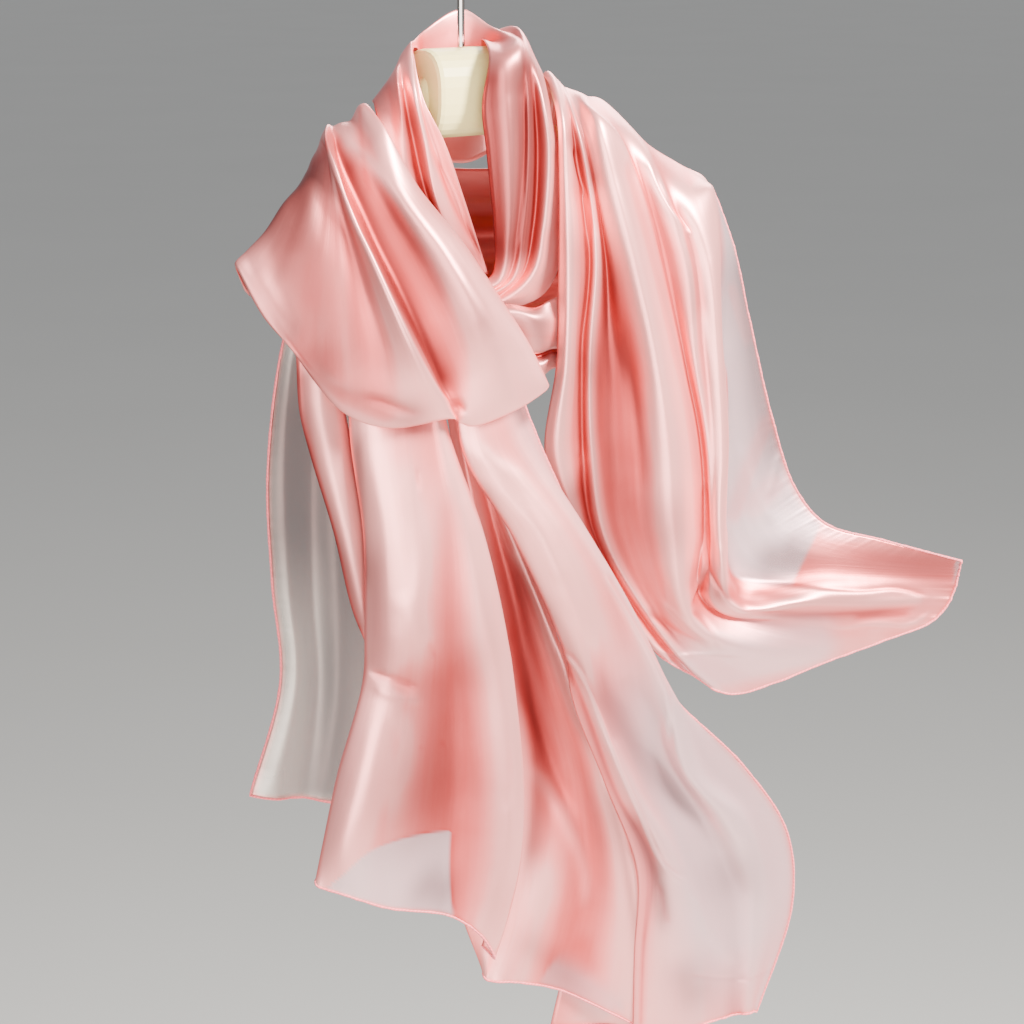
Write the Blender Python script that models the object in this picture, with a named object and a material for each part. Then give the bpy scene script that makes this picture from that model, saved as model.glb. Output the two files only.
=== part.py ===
"""Hijab: a long satin scarf wound on the neck of a moulded hanger. Metres, +Z up.

The origin is the bearing point of the hook. X runs across the front, Y runs away from the viewer.
Cloth tables give, for each fold line, the points it passes through from its upper to its lower end:
(x, depth, height) in millimetres. Depth is measured behind the plane that the whole scarf hangs in,
which is turned by CLOTH_TURN_DEG from the front.
"""
import math

import bmesh
import bpy
import numpy as np
from mathutils import Vector
from mathutils.bvhtree import BVHTree

MM = 0.001
CLOTH_TURN_DEG = 22.0
HANGER_TURN_DEG = 34.0
CLOTH_WALL = 1.6
CLOTH_STEP = 20.0
SEAT_GAP = 0.15

WIRE_DIAMETER = 5.2
HOOK_INNER_RADIUS = 17.0
HOOK_TIP_DEG = 205.0
STEM_FOOT = -87.6

BLOCK_TOP = -88.0
BLOCK_HEIGHT = 62.0
BLOCK_THICKNESS = 50.0
BLOCK_HALF_LENGTH = 33.0
SECTION_ROUNDNESS = 2.6

PINK = (0.86, 0.42, 0.41, 1.0)
PALE_PINK = (0.72, 0.55, 0.55, 1.0)
IVORY = (0.86, 0.82, 0.64, 1.0)
STEEL = (0.62, 0.62, 0.62, 1.0)

# Half of the hanger, from the block to the tip: distance along, middle height, half height, half thickness.
ARM_SECTIONS = (
    (33.4, -122.0, 15.0, 10.0),
    (54.0, -134.0, 13.0, 10.0),
    (78.0, -158.0, 12.0, 11.0),
    (96.0, -175.0, 11.0, 12.0),
    (118.0, -198.0, 10.0, 13.0),
    (135.0, -218.0, 9.5, 13.0),
    (147.0, -234.0, 9.0, 12.0),
    (152.0, -241.0, 6.5, 9.0),
)

# Neck wrap, from the inner edge to the outer edge. Each line runs from under the cowl, up the left side,
# round behind the block, down the right side and back under the cowl.
NECK_WRAP = {
    "inner edge": (
        (19, -38, -244), (3, -40, -191), (-11, -40, -149), (-25, -36, -120), (-33, -13, -90.5),
        (-31, 12, -88.5), (-26, 31, -98), (2, 42, -100), (13, 30, -94), (14, 14, -84), (20, -36, -94),
        (15, -40, -126), (18, -42, -158), (23, -42, -216), (22, -44, -243), (12, -46, -249),
        (-4, -48, -254),
    ),
    "inner crease": (
        (13, -37, -244), (-4, -38, -189), (-19, -37, -153), (-29, -34, -116), (-34, -11, -87.5),
        (-32, 12, -87), (-26, 31, -89), (1, 43, -82), (17, 31, -86), (25, 10, -86), (29, -42, -93),
        (32, -48, -120), (35, -50, -160), (34, -49, -215), (28, -50, -247), (16, -50, -253),
        (-3, -50, -258),
    ),
    "rim fold": (
        (2, -42, -240), (-16, -50, -190), (-24, -49, -147), (-31, -45, -112), (-34.5, -6, -84.5),
        (-33, 13, -83.5), (-26.5, 31, -78), (0, 46, -64.5), (19.5, 33, -75.5), (33, 6, -81),
        (42, -38, -87), (43, -42, -120), (43, -42, -160), (39, -42, -214), (32, -43, -247),
        (18, -46, -256), (-2, -46, -261),
    ),
    "red trough": (
        (-8, -38, -236), (-23, -38, -186), (-32, -36, -148), (-39, -35, -108), (-41, -8, -92),
        (-38, 16, -91), (-28, 38, -88), (2, 52, -80), (19.5, 39, -80), (36, 10, -80.5), (44.5, -32, -89),
        (47, -44, -120), (48, -45, -160), (44, -45, -214), (38, -46, -246), (20, -47, -258),
        (-1, -45, -264),
    ),
    "outer fold": (
        (-16, -42, -232), (-32, -44, -184), (-37, -47, -146), (-42, -43, -106), (-44, -8, -98),
        (-43, 18, -102), (-32, 41, -108), (3, 54, -108), (27, 42, -81), (38.5, 18, -76), (47, -30, -90.5),
        (51, -37, -120), (54, -36, -160), (51, -36, -213), (43, -38, -246), (25, -41, -260),
        (0, -41, -267),
    ),
    "shoulder fall": (
        (-28, -40, -228), (-42, -43, -182), (-45, -43, -146), (-49, -29, -110), (-52, -4, -112),
        (-50, 20, -119), (-38, 43, -130), (5, 57, -136), (34, 43, -110), (44, 14, -84), (52, -26, -98),
        (58, -43, -126), (62, -46, -160), (58, -46, -212), (52, -46, -243), (37, -44, -260),
        (6, -41, -270),
    ),
    "outer edge": (
        (-38, -42, -222), (-51, -40, -180), (-54, -41, -146), (-59, -25, -123), (-61, -2, -124),
        (-56, 22, -136), (-45, 44, -156), (4, 59, -176), (42, 41, -146), (51, 8, -104),
        (56.5, -20, -105.5), (63, -26, -132), (70, -31, -162), (72, -33, -212), (68, -34, -247),
        (56, -38, -263), (20, -38, -273),
    ),
}

# Roll below the throat. Each line runs from under the cowl to behind the right panel.
CROSSING = {
    "upper edge": (
        (8, -50, -266), (34, -50, -265), (52, -50, -269), (65, -46, -264), (84, -34, -262),
    ),
    "crest": (
        (10, -54, -272), (36, -56, -270), (52, -58, -274), (65, -52, -278), (84, -36, -282),
    ),
    "belly": (
        (24, -52, -286), (40, -55, -286), (54, -57, -289), (65, -51, -291), (84, -36, -297),
    ),
    "lower fold": (
        (34, -49, -297), (44, -51, -300), (55, -52, -301), (65, -47, -300), (84, -34, -306),
    ),
    "gap": (
        (38, -42, -301), (47, -43, -304), (56, -43, -305), (65, -40, -303), (82, -32, -309),
    ),
    "second lobe": (
        (42, -46, -308), (50, -49, -310), (57, -49, -311), (64, -46, -308), (80, -34, -312),
    ),
    "lower edge": (
        (47, -42, -316), (53, -43, -320), (58, -44, -320), (64, -43, -316), (76, -34, -317),
    ),
}

# Cowl, from behind the left shoulder to its right edge. Each line runs from the back, over the arm, down the
# front and a little way under at the bottom fold.
COWL = {
    "behind the shoulder": (
        (-92, 22, -208), (-98, 0, -164), (-104, -14, -178), (-110, -18, -194), (-119, -24, -210),
        (-130, -34, -224), (-140, -48, -234), (-145, -58, -240), (-141, -58, -246),
    ),
    "left outline": (
        (-92, 26, -204), (-100, -24, -157.5), (-103.5, -38, -165), (-109, -47, -174.5),
        (-118.5, -55, -185), (-130, -61, -202), (-142, -66, -214), (-149, -69, -221), (-145.5, -62, -229),
    ),
    "left fall": (
        (-90, 28, -204), (-97.5, -26, -152.5), (-97.5, -46, -162), (-101.5, -60, -177.5),
        (-109, -70, -200.5), (-118.5, -76, -225), (-127.5, -81, -243.5), (-131, -82, -255),
        (-127.5, -72, -254.5),
    ),
    "left belly": (
        (-88, 29, -204), (-96, -27, -148), (-88, -51, -153), (-90, -69, -192), (-94, -80, -222),
        (-99, -86, -254), (-105, -87, -284), (-114.5, -86, -276), (-113, -75, -273),
    ),
    "lower belly": (
        (-86, 30, -204), (-94.5, -28, -143.5), (-88, -54, -152), (-82, -73, -200), (-80, -85, -236),
        (-79, -90, -272), (-79, -88, -308), (-80, -85, -325), (-76, -75, -317),
    ),
    "slope to the ridge": (
        (-84, 30, -203), (-92.5, -29, -139.5), (-87, -56, -150), (-74, -76, -204), (-64, -88, -243),
        (-56, -93, -281), (-52, -90, -322), (-50, -86, -339), (-47, -76, -329),
    ),
    "ridge": (
        (-82, 31, -202), (-89.5, -31, -135.5), (-89.5, -56, -146), (-64, -86, -205), (-48, -99, -239),
        (-31, -104, -277), (-16, -98, -311), (-5, -89, -336), (-6, -78, -327),
    ),
    "red crease": (
        (-79, 31, -201), (-87, -28, -137), (-84, -48, -149), (-59, -72, -206), (-42, -82, -241),
        (-25, -87, -278), (-11, -85, -312), (0, -82, -341), (0, -74, -330),
    ),
    "trough": (
        (-75, 31, -199), (-82, -28, -135), (-76, -48, -146), (-47, -72, -196), (-27, -84, -232),
        (-9, -91, -269), (3, -89, -307), (8, -83, -344), (7, -74, -332),
    ),
    "panel": (
        (-70, 31, -195), (-75, -27, -133.5), (-62, -54, -149), (-38, -78, -184), (-12, -92, -219),
        (10, -99, -257), (24, -94, -299), (30, -85, -338), (28, -76, -327),
    ),
    "right highlight": (
        (-65, 30, -189), (-69.5, -25, -124), (-56, -55, -141), (-33, -74, -180), (-6, -88, -216),
        (18, -94, -255), (38, -90, -294), (50, -84, -329), (46, -76, -319),
    ),
    "right edge": (
        (-61, 29, -184), (-66.5, -22, -123), (-52, -52, -135), (-28, -64, -178), (1, -76, -214),
        (27, -82, -254), (49, -82, -291), (62, -80, -320), (57, -73, -313),
    ),
    "turned under": (
        (-59, 26, -182), (-68, -19, -126), (-57, -43, -142), (-34, -58, -183), (-6, -69, -219),
        (19, -74, -258), (41, -75, -293), (54, -74, -315), (50, -71, -309),
    ),
}

# Left front panel of the hanging end. The first two lines are its layer folded back behind it.
FRONT_TAIL_LEFT = {
    "back layer edge": (
        (-16, -47, -288), (-18, -46, -350), (-18, -45, -420), (-16, -45, -490), (-14, -45, -530),
        (-12, -45, -580), (-11, -45, -620), (-11, -45, -646),
    ),
    "back layer": (
        (-46, -47, -288), (-50, -46, -350), (-48, -45, -420), (-48, -45, -490), (-50, -44, -530),
        (-56, -44, -585), (-61, -44, -628), (-62, -44, -654),
    ),
    "left fold": (
        (-76, -51, -284), (-77, -53, -346), (-69, -54, -420), (-69, -54, -490), (-71, -53, -530),
        (-90, -53, -598), (-101, -53, -648), (-107, -54, -678),
    ),
    "left crest": (
        (-61, -60, -285), (-62, -65, -348), (-54, -70, -420), (-52, -69, -490), (-57, -62, -530),
        (-74, -69, -600), (-86, -68, -652), (-86, -63, -687),
    ),
    "broad crest": (
        (-40, -62, -287), (-40, -68, -350), (-33, -75, -425), (-32, -74, -492), (-36, -65, -533),
        (-50, -68, -606), (-57, -66, -662), (-54, -62, -704),
    ),
    "soft trough": (
        (-26, -61, -289), (-20, -66, -352), (-10, -71, -425), (-8, -68, -495), (-8, -61, -540),
        (-8, -59, -612), (-12, -58, -672), (-10, -58, -720),
    ),
    "right crest": (
        (-22, -60, -290), (-13, -66, -352), (7, -71, -425), (19, -72, -495), (27, -70, -545),
        (34, -71, -622), (30, -68, -686), (13, -63, -738),
    ),
    "right fold": (
        (-20, -57, -290), (-8, -61, -352), (15, -66, -422), (31, -67, -495), (38, -67, -548),
        (45, -68, -630), (41, -66, -692), (23, -60, -760),
    ),
    "tuck": (
        (-25, -53, -290), (-15, -54, -352), (6, -56, -422), (21, -57, -495), (28, -57, -548),
        (34, -58, -630), (30, -57, -690), (13, -54, -750),
    ),
}

# Middle panel: the deep trough between the left panel and the diagonal band.
FRONT_TAIL_MIDDLE = {
    "back layer edge": (
        (-12, -40, -335), (-4, -37, -400), (2, -36, -480), (4, -36, -560), (2, -36, -640), (-6, -38, -718),
        (13, -43, -784),
    ),
    "left fold": (
        (-6, -44, -338), (6, -44, -402), (18, -45, -482), (25, -46, -562), (28, -47, -642),
        (28, -48, -728), (16, -49, -789),
    ),
    "trough": (
        (0, -43, -341), (15, -40, -405), (34, -38, -480), (52, -39, -560), (66, -43, -640),
        (60, -52, -722), (42, -53, -795),
    ),
    "slope": (
        (6, -43, -343), (20, -41, -408), (43, -43, -479), (66, -47, -556), (88, -49, -640),
        (92, -50, -718), (72, -48, -809),
    ),
    "middle ridge": (
        (11, -44, -345), (25, -44, -411), (51, -49, -478), (79, -58, -554), (106, -61, -640),
        (124, -62, -714), (114, -56, -834),
    ),
    "right fold": (
        (15, -43, -346), (30, -43, -414), (56, -46, -482), (83, -57, -558), (110, -60, -642),
        (135, -61, -724), (139, -60, -852),
    ),
    "tuck": (
        (9, -38, -346), (22, -37, -414), (48, -38, -482), (74, -46, -560), (100, -48, -644),
        (120, -48, -726), (112, -46, -848),
    ),
    "returned layer": (
        (5, -35, -346), (14, -33, -414), (36, -33, -482), (58, -38, -560), (80, -41, -644),
        (88, -42, -726), (66, -42, -842),
    ),
}

# Right part: a diagonal band that opens into the wide single layer with its hemmed edge.
FRONT_TAIL_RIGHT = {
    "left tuck": (
        (4, -52, -300), (12, -54, -366), (44, -54, -428), (74, -50, -500), (80, -46, -562),
        (106, -46, -636), (132, -46, -712), (131, -42, -785), (131, -42, -850),
    ),
    "left edge": (
        (-4, -55, -302), (1, -60, -364), (37, -63, -431), (67, -61, -503), (88, -52, -566),
        (113, -51, -640), (141, -49, -706), (138, -45, -785), (137, -45, -850),
    ),
    "bright ridge": (
        (5, -57, -301), (13, -66, -367), (56, -72, -432), (82, -70, -500), (96, -60, -566),
        (124, -61, -638), (152, -59, -699), (168, -55, -770), (172, -54, -850),
    ),
    "slope": (
        (13, -58, -302), (24, -66, -364), (68, -70, -430), (100, -66, -503), (112, -54, -570),
        (140, -49, -642), (170, -48, -698), (192, -50, -765), (200, -50, -850),
    ),
    "dark trough": (
        (19, -58, -301), (34, -64, -361), (78, -66, -428), (114, -63, -500), (134, -56, -568),
        (162, -44, -640), (190, -43, -692), (210, -47, -748), (214, -47, -850),
    ),
    "upper ridge": (
        (24, -57, -300), (42, -62, -359), (84, -63, -427), (121, -63, -496), (151, -65, -562),
        (171, -58, -637), (202, -55, -678), (226, -52, -740), (224, -50, -850),
    ),
    "right edge": (
        (29, -55, -300), (48, -58, -358), (88, -58, -428), (126, -59, -498), (156, -59, -563),
        (193, -50, -638), (228, -48, -688), (244, -47, -750), (229, -48, -850),
    ),
    "hemmed edge": (
        (33, -50, -300), (52, -51, -356), (84, -51, -430), (120, -52, -501), (154, -53, -567),
        (216, -46, -640), (253, -44, -702), (259, -44, -765), (232, -46, -852),
    ),
}

# Narrow pleat seen between the front panel and the back tail.
SIDE_PLEAT = {
    "left edge": (
        (-112, -40, -284), (-111, -36, -328), (-105, -32, -360), (-90, -31, -419), (-78, -31, -478),
        (-66, -31, -512),
    ),
    "crest": (
        (-96, -46, -288), (-97, -42, -328), (-92, -39, -362), (-81, -37, -421), (-70, -35, -480),
        (-60, -32, -515),
    ),
    "right edge": (
        (-80, -42, -292), (-80, -38, -330), (-74, -35, -364), (-63, -34, -423), (-56, -33, -482),
        (-54, -32, -518),
    ),
}

# Thin single layer behind, at the left.
BACK_TAIL = {
    "hemmed edge": (
        (-98, 40, -211), (-128, 44, -290), (-143, 44, -392), (-142, 44, -478), (-138, 44, -556),
        (-162, 42, -643),
    ),
    "soft ridge": (
        (-94, 38, -208), (-119, 39, -294), (-131, 39, -394), (-130, 39, -480), (-126, 39, -558),
        (-145, 38, -647),
    ),
    "soft trough": (
        (-86, 41, -210), (-106, 47, -300), (-114, 48, -396), (-114, 48, -482), (-112, 48, -562),
        (-124, 46, -652),
    ),
    "inner ridge": (
        (-78, 39, -212), (-90, 41, -304), (-94, 40, -400), (-94, 40, -486), (-94, 40, -566),
        (-103, 40, -657),
    ),
    "inner edge": (
        (-70, 41, -214), (-70, 45, -308), (-70, 46, -404), (-70, 46, -490), (-72, 46, -572),
        (-82, 46, -663),
    ),
}

# Fall over the right shoulder, from the narrow panel at its left to the free edge of the single layer.
# Each line runs from behind, over the shoulder, down the front and out to the flung end.
RIGHT_PANEL = {
    "narrow panel edge": (
        (50, 50, -156), (57, 10, -111), (67, -36, -132.5), (69, -48, -180), (69, -52, -240),
        (68, -52, -308), (60, -46, -381), (84, -40, -445), (116, -38, -505), (130, -37, -524),
        (144, -36, -543),
    ),
    "narrow panel crest": (
        (53, 51, -158), (61, 10, -108), (71, -40, -132), (74, -54, -179), (76, -61, -240), (75, -61, -308),
        (70, -54, -379), (91, -46, -446), (124, -43, -508), (141, -42, -534), (158, -41, -554),
    ),
    "narrow panel crease": (
        (57, 51, -161), (66, 9, -112.5), (77, -34, -136), (84, -42, -179), (91, -44, -240),
        (86, -43, -306), (88, -41, -380), (98, -38, -447), (132, -38, -511), (156, -39, -543),
        (175, -39, -566),
    ),
    "small ridge": (
        (61, 52, -163), (70, 9, -117), (81, -40, -139.5), (90, -50, -180), (96, -53, -240),
        (92, -52, -308), (94, -50, -379), (105, -44, -448), (141, -45, -515), (170, -46, -555),
        (194, -45, -579),
    ),
    "red trough": (
        (64, 51, -165), (72, 8, -119), (84, -35, -141.5), (94, -44, -182), (104, -37, -243),
        (105, -37, -309), (106, -43, -379), (116, -43, -446), (150, -44, -517), (186, -47, -561),
        (209, -45, -584),
    ),
    "ridge flank": (
        (68, 52, -167), (75.5, 8, -120.5), (88.5, -39, -143), (97, -48, -184), (110, -48, -244),
        (120, -45, -310), (127, -49, -379), (134, -49, -446), (160, -49, -519), (206, -48, -562),
        (236, -45, -580),
    ),
    "great ridge": (
        (76, 54, -172), (81.5, 8, -123.5), (95.5, -45, -138.5), (109, -57, -183), (124, -61, -240),
        (140, -63, -308), (152, -64, -380), (158, -63, -447), (172, -58, -516), (235, -51, -554),
        (284, -46, -567),
    ),
    "coral crease": (
        (86, 53, -179), (88, 7, -126), (108, -34, -141.5), (125, -43, -181), (145, -46, -242),
        (160, -46, -310), (175, -46, -381), (180, -44, -448), (180, -42, -504), (262, -48, -538),
        (336, -45, -555),
    ),
    "shoulder ridge": (
        (100, 56, -188), (97.5, 7, -128), (119, -18, -145), (140, -44, -180), (162, -53, -240),
        (170, -52, -311), (181, -52, -382), (185, -51, -449), (191, -49, -511), (272, -49, -529),
        (366, -44, -548),
    ),
    "shoulder crease": (
        (120, 57, -204), (125.5, 8, -159.5), (138, -10, -164), (147, -38, -185), (168, -50, -240),
        (178, -51, -312), (186, -53, -382), (188, -53, -450), (198, -52, -512), (278, -50, -521),
        (378, -42, -541),
    ),
    "outer roll": (
        (146, 56, -224), (150, 8, -176), (160, -2, -178.5), (166, -40, -197), (180, -54, -242),
        (188, -56, -312), (193, -57, -382), (193, -57, -450), (205, -55, -509), (282, -51, -513),
        (386, -40, -531),
    ),
    "roll edge": (
        (168, 50, -236), (175.5, 8, -187.5), (181.5, -6, -192), (183, -28, -194.5), (188, -38, -230),
        (193, -42, -312), (198, -45, -384), (199, -45, -451), (208, -46, -503), (285, -46, -506),
        (390, -38, -522),
    ),
    "behind the roll": (
        (172, 48, -238), (178.5, 10, -190.5), (184, 0, -197), (187, -14, -202), (193, -25, -232.5),
        (188, -30, -314), (192, -32, -385), (195, -33, -450), (212, -36, -494), (288, -40, -499),
        (392, -37, -514),
    ),
    "single layer": (
        (175, 46, -239), (182, 14, -194), (187, 5, -202), (191.5, -6, -212), (199.5, -14, -239),
        (211.5, -18, -311.5), (219, -20, -384), (232, -24, -444), (252, -30, -470), (302, -36, -488),
        (393, -38, -507),
    ),
    "free edge": (
        (177, 44, -240), (185.5, 18, -198.5), (190, 10, -206.5), (195, 2, -219.5), (204, -4, -245.5),
        (220, -8, -315.5), (237, -12, -380), (256, -18, -432), (280, -26, -460), (328, -34, -477),
        (394, -40, -500),
    ),
}

# Stretch across the back. Each line runs from the left shoulder to the right shoulder.
BACK_DRAPE = {
    "upper edge": (
        (-62, 16, -142), (-66, 52, -162), (-50, 64, -172), (-8, 70, -181), (44, 72, -184), (96, 69, -186),
        (140, 64, -199), (164, 50, -212),
    ),
    "first fold": (
        (-64, 18, -145), (-72, 56, -172), (-57, 73, -192), (-10, 82, -203), (44, 84, -206),
        (100, 79, -204), (144, 70, -208), (168, 51, -218),
    ),
    "first trough": (
        (-67, 16, -148), (-79, 50, -182), (-63, 64, -212), (-13, 69, -225), (44, 71, -228),
        (104, 68, -221), (147, 64, -217), (172, 49, -224),
    ),
    "second fold": (
        (-70, 18, -152), (-87, 56, -193), (-69, 73, -232), (-17, 82, -247), (44, 84, -249),
        (108, 79, -239), (150, 69, -228), (175, 50, -230),
    ),
    "second trough": (
        (-73, 16, -156), (-94, 49, -204), (-75, 63, -250), (-21, 68, -267), (42, 70, -269),
        (111, 68, -255), (153, 63, -238), (178, 48, -236),
    ),
    "lower fold": (
        (-76, 17, -160), (-100, 52, -214), (-81, 69, -264), (-25, 77, -286), (40, 79, -288),
        (113, 75, -269), (155, 66, -248), (180, 48, -241),
    ),
    "lower edge": (
        (-79, 14, -164), (-103, 45, -221), (-86, 60, -271), (-28, 67, -297), (38, 69, -299),
        (114, 67, -280), (156, 61, -254), (181, 45, -245),
    ),
}


def smooth_curve(points, steps):
    """Points of a smooth curve through the given points, with steps[k] spans between points k and k + 1."""
    p = np.asarray(points, dtype=float)
    p = np.vstack([2 * p[0] - p[1], p, 2 * p[-1] - p[-2]])
    t = np.concatenate([[0.0], np.cumsum(np.linalg.norm(np.diff(p, axis=0), axis=1) ** 0.5 + 1e-6)])
    made = [p[1]]
    for k, count in enumerate(steps):
        a, b, c, d = p[k : k + 4]
        ta, tb, tc, td = t[k : k + 4]
        for i in range(1, count + 1):
            s = tb + (tc - tb) * i / count
            ab = (a * (tb - s) + b * (s - ta)) / (tb - ta)
            bc = (b * (tc - s) + c * (s - tb)) / (tc - tb)
            cd = (c * (td - s) + d * (s - tc)) / (td - tc)
            abc = (ab * (tc - s) + bc * (s - ta)) / (tc - ta)
            bcd = (bc * (td - s) + cd * (s - tb)) / (td - tb)
            made.append((abc * (tc - s) + bcd * (s - tb)) / (tc - tb))
    return np.array(made)


def steps_for(lengths):
    """Number of spans for each gap, from its mean width."""
    return [1 if length < 0.5 * CLOTH_STEP else max(2, round(length / CLOTH_STEP)) for length in lengths]


def cloth_grid(fold_lines):
    """Grid of points (across, along, xyz) in millimetres of the sheet through the fold lines."""
    lines = np.array(list(fold_lines.values()), dtype=float)
    lines[:, :, 1] += lines[:, :, 0] * math.tan(math.radians(CLOTH_TURN_DEG))
    gaps_along = np.linalg.norm(np.diff(lines, axis=1), axis=2).mean(axis=0)
    along = [max(1, round(length / (1.4 * CLOTH_STEP))) for length in gaps_along]
    lines = np.array([smooth_curve(line, along) for line in lines])
    gaps_across = np.linalg.norm(np.diff(lines, axis=0), axis=2).mean(axis=1)
    across = steps_for(gaps_across)
    return np.array([smooth_curve(lines[:, j], across) for j in range(lines.shape[1])]).transpose(1, 0, 2)


def quads_of(grid):
    """Faces of a grid, as tuples of four vertex numbers."""
    rows, columns = grid.shape[:2]
    return [
        (i * columns + j, (i + 1) * columns + j, (i + 1) * columns + j + 1, i * columns + j + 1)
        for i in range(rows - 1)
        for j in range(columns - 1)
    ]


def surface_of(grid):
    """Points and faces of a sheet's middle surface."""
    return [Vector(point) for point in grid.reshape(-1, 3)], quads_of(grid)


def samples_of(grid, spans=5):
    """Points spread evenly over the faces of a sheet's middle surface."""
    steps = np.linspace(0.0, 1.0, spans, endpoint=False)
    rows = [grid[:-1] * (1 - t) + grid[1:] * t for t in steps] + [grid[-1:]]
    tall = np.concatenate(rows)
    columns = [tall[:, :-1] * (1 - t) + tall[:, 1:] * t for t in steps] + [tall[:, -1:]]
    return [Vector(point) for point in np.concatenate(columns, axis=1).reshape(-1, 3)]


def room_between(points, surface, direction, clearance):
    """Least distance that the points can move along the direction before they touch the surface."""
    tree = BVHTree.FromPolygons(*surface)
    rooms = []
    for point in points:
        hit, normal, _, distance = tree.ray_cast(point, direction)
        if hit is not None:
            rooms.append(distance - clearance / max(0.35, abs(normal.dot(direction))))
    return min(rooms, default=math.inf)


def rest_against(grid, neighbours, direction, retreat=40.0):
    """Moves a sheet along the direction, from clear of its neighbours, until it lies against the nearest."""
    direction = Vector(direction)
    start = grid - np.array(direction * retreat)
    rooms = []
    for other in neighbours:
        rooms.append(room_between(samples_of(start), surface_of(other), direction, CLOTH_WALL + SEAT_GAP))
        rooms.append(room_between(samples_of(other), surface_of(start), -direction, CLOTH_WALL + SEAT_GAP))
    return start + np.array(direction * min(rooms))


def finish(name, vertices, faces, material_name, colour, roughness, metallic, smooth=True):
    """Adds a mesh object with its own material."""
    mesh = bpy.data.meshes.new(name)
    mesh.from_pydata([tuple(v) for v in vertices], [], faces)
    mesh.validate()
    made = bpy.data.objects.new(name, mesh)
    bpy.context.collection.objects.link(made)
    material = bpy.data.materials.new(material_name)
    material.use_nodes = True
    shader = material.node_tree.nodes["Principled BSDF"]
    shader.inputs["Base Color"].default_value = colour
    shader.inputs["Roughness"].default_value = roughness
    shader.inputs["Metallic"].default_value = metallic
    mesh.materials.append(material)
    mesh.polygons.foreach_set("use_smooth", [smooth] * len(mesh.polygons))
    return made


def make_cloth(name, grid, colour=PINK):
    """Cloth sheet: the grid's surface with the cloth's wall."""
    made = finish(name, grid.reshape(-1, 3) * MM, quads_of(grid), name + "_satin", colour, 0.35, 0.0)
    wall = made.modifiers.new("wall", "SOLIDIFY")
    wall.thickness = CLOTH_WALL * MM
    wall.offset = 0.0
    wall.use_even_offset = False
    return made


def hanger_point(along, across, height):
    """A point of the hanger, whose length is turned by HANGER_TURN_DEG from the X axis."""
    turn = math.radians(HANGER_TURN_DEG)
    return (
        (along * math.cos(turn) - across * math.sin(turn)) * MM,
        (along * math.sin(turn) + across * math.cos(turn)) * MM,
        height * MM,
    )


def oval(along, middle, half_height, half_thickness, sides=28):
    """Rounded section of the hanger."""
    ring = []
    power = 2.0 / SECTION_ROUNDNESS
    for k in range(sides):
        angle = 2 * math.pi * (k + 0.5) / sides
        c, s = math.cos(angle), math.sin(angle)
        ring.append(hanger_point(
            along,
            math.copysign(abs(c) ** power, c) * half_thickness,
            middle + math.copysign(abs(s) ** power, s) * half_height,
        ))
    return ring


def make_hanger_body():
    """Block and both arms as one skin through oval sections, closed at the tips."""
    middle = BLOCK_TOP - BLOCK_HEIGHT / 2
    half_height = BLOCK_HEIGHT / 2
    half_thickness = BLOCK_THICKNESS / 2
    half = [
        (0.0, middle, half_height, half_thickness),
        (BLOCK_HALF_LENGTH - 4.0, middle, half_height, half_thickness),
        (BLOCK_HALF_LENGTH - 1.2, middle, half_height - 0.8, half_thickness - 0.8),
        (BLOCK_HALF_LENGTH, middle, half_height - 3.0, half_thickness - 3.0),
    ] + list(ARM_SECTIONS)
    sections = [(-s[0], *s[1:]) for s in reversed(half[1:])] + half
    bm = bmesh.new()
    rings = [[bm.verts.new(p) for p in oval(*s)] for s in sections]
    sides = len(rings[0])
    for a, b in zip(rings, rings[1:]):
        for k in range(sides):
            bm.faces.new((a[k], a[(k + 1) % sides], b[(k + 1) % sides], b[k]))
    for ring, along in ((rings[0], sections[0]), (rings[-1], sections[-1])):
        tip = bm.verts.new(hanger_point(along[0] + math.copysign(2.5, along[0]), 0.0, along[1] - 3.0))
        for k in range(sides):
            bm.faces.new((ring[k], ring[(k + 1) % sides], tip))
    bmesh.ops.recalc_face_normals(bm, faces=bm.faces)
    vertices = [v.co.copy() for v in bm.verts]
    bm.verts.index_update()
    faces = [[v.index for v in f.verts] for f in bm.faces]
    bm.free()
    return finish("hanger_body", vertices, faces, "hanger_ivory", IVORY, 0.25, 0.0)


def make_hanger_hook():
    """Bent wire: a straight stem, a side step and the hook's round, with filled ends."""
    centre = -HOOK_INNER_RADIUS
    radius = HOOK_INNER_RADIUS + WIRE_DIAMETER / 2
    path = [(0.0, STEM_FOOT), (0.0, -66.0), (0.0, -54.0), (2.2, -46.0), (6.2, -39.0)]
    start = -48.0
    for k in range(22):
        angle = math.radians(start + (HOOK_TIP_DEG - start) * k / 21)
        path.append((radius * math.cos(angle), centre + radius * math.sin(angle)))
    curve = bpy.data.curves.new("hanger_hook", "CURVE")
    curve.dimensions = "3D"
    curve.bevel_depth = WIRE_DIAMETER / 2 * MM
    curve.bevel_resolution = 3
    curve.use_fill_caps = True
    line = curve.splines.new("POLY")
    line.points.add(len(path) - 1)
    for spot, (along, height) in zip(line.points, path):
        spot.co = (*hanger_point(along, 0.0, height), 1.0)
    line.use_smooth = True
    made = bpy.data.objects.new("hanger_hook", curve)
    bpy.context.collection.objects.link(made)
    material = bpy.data.materials.new("hook_steel")
    material.use_nodes = True
    shader = material.node_tree.nodes["Principled BSDF"]
    shader.inputs["Base Color"].default_value = STEEL
    shader.inputs["Roughness"].default_value = 0.2
    shader.inputs["Metallic"].default_value = 1.0
    curve.materials.append(material)
    return made


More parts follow.
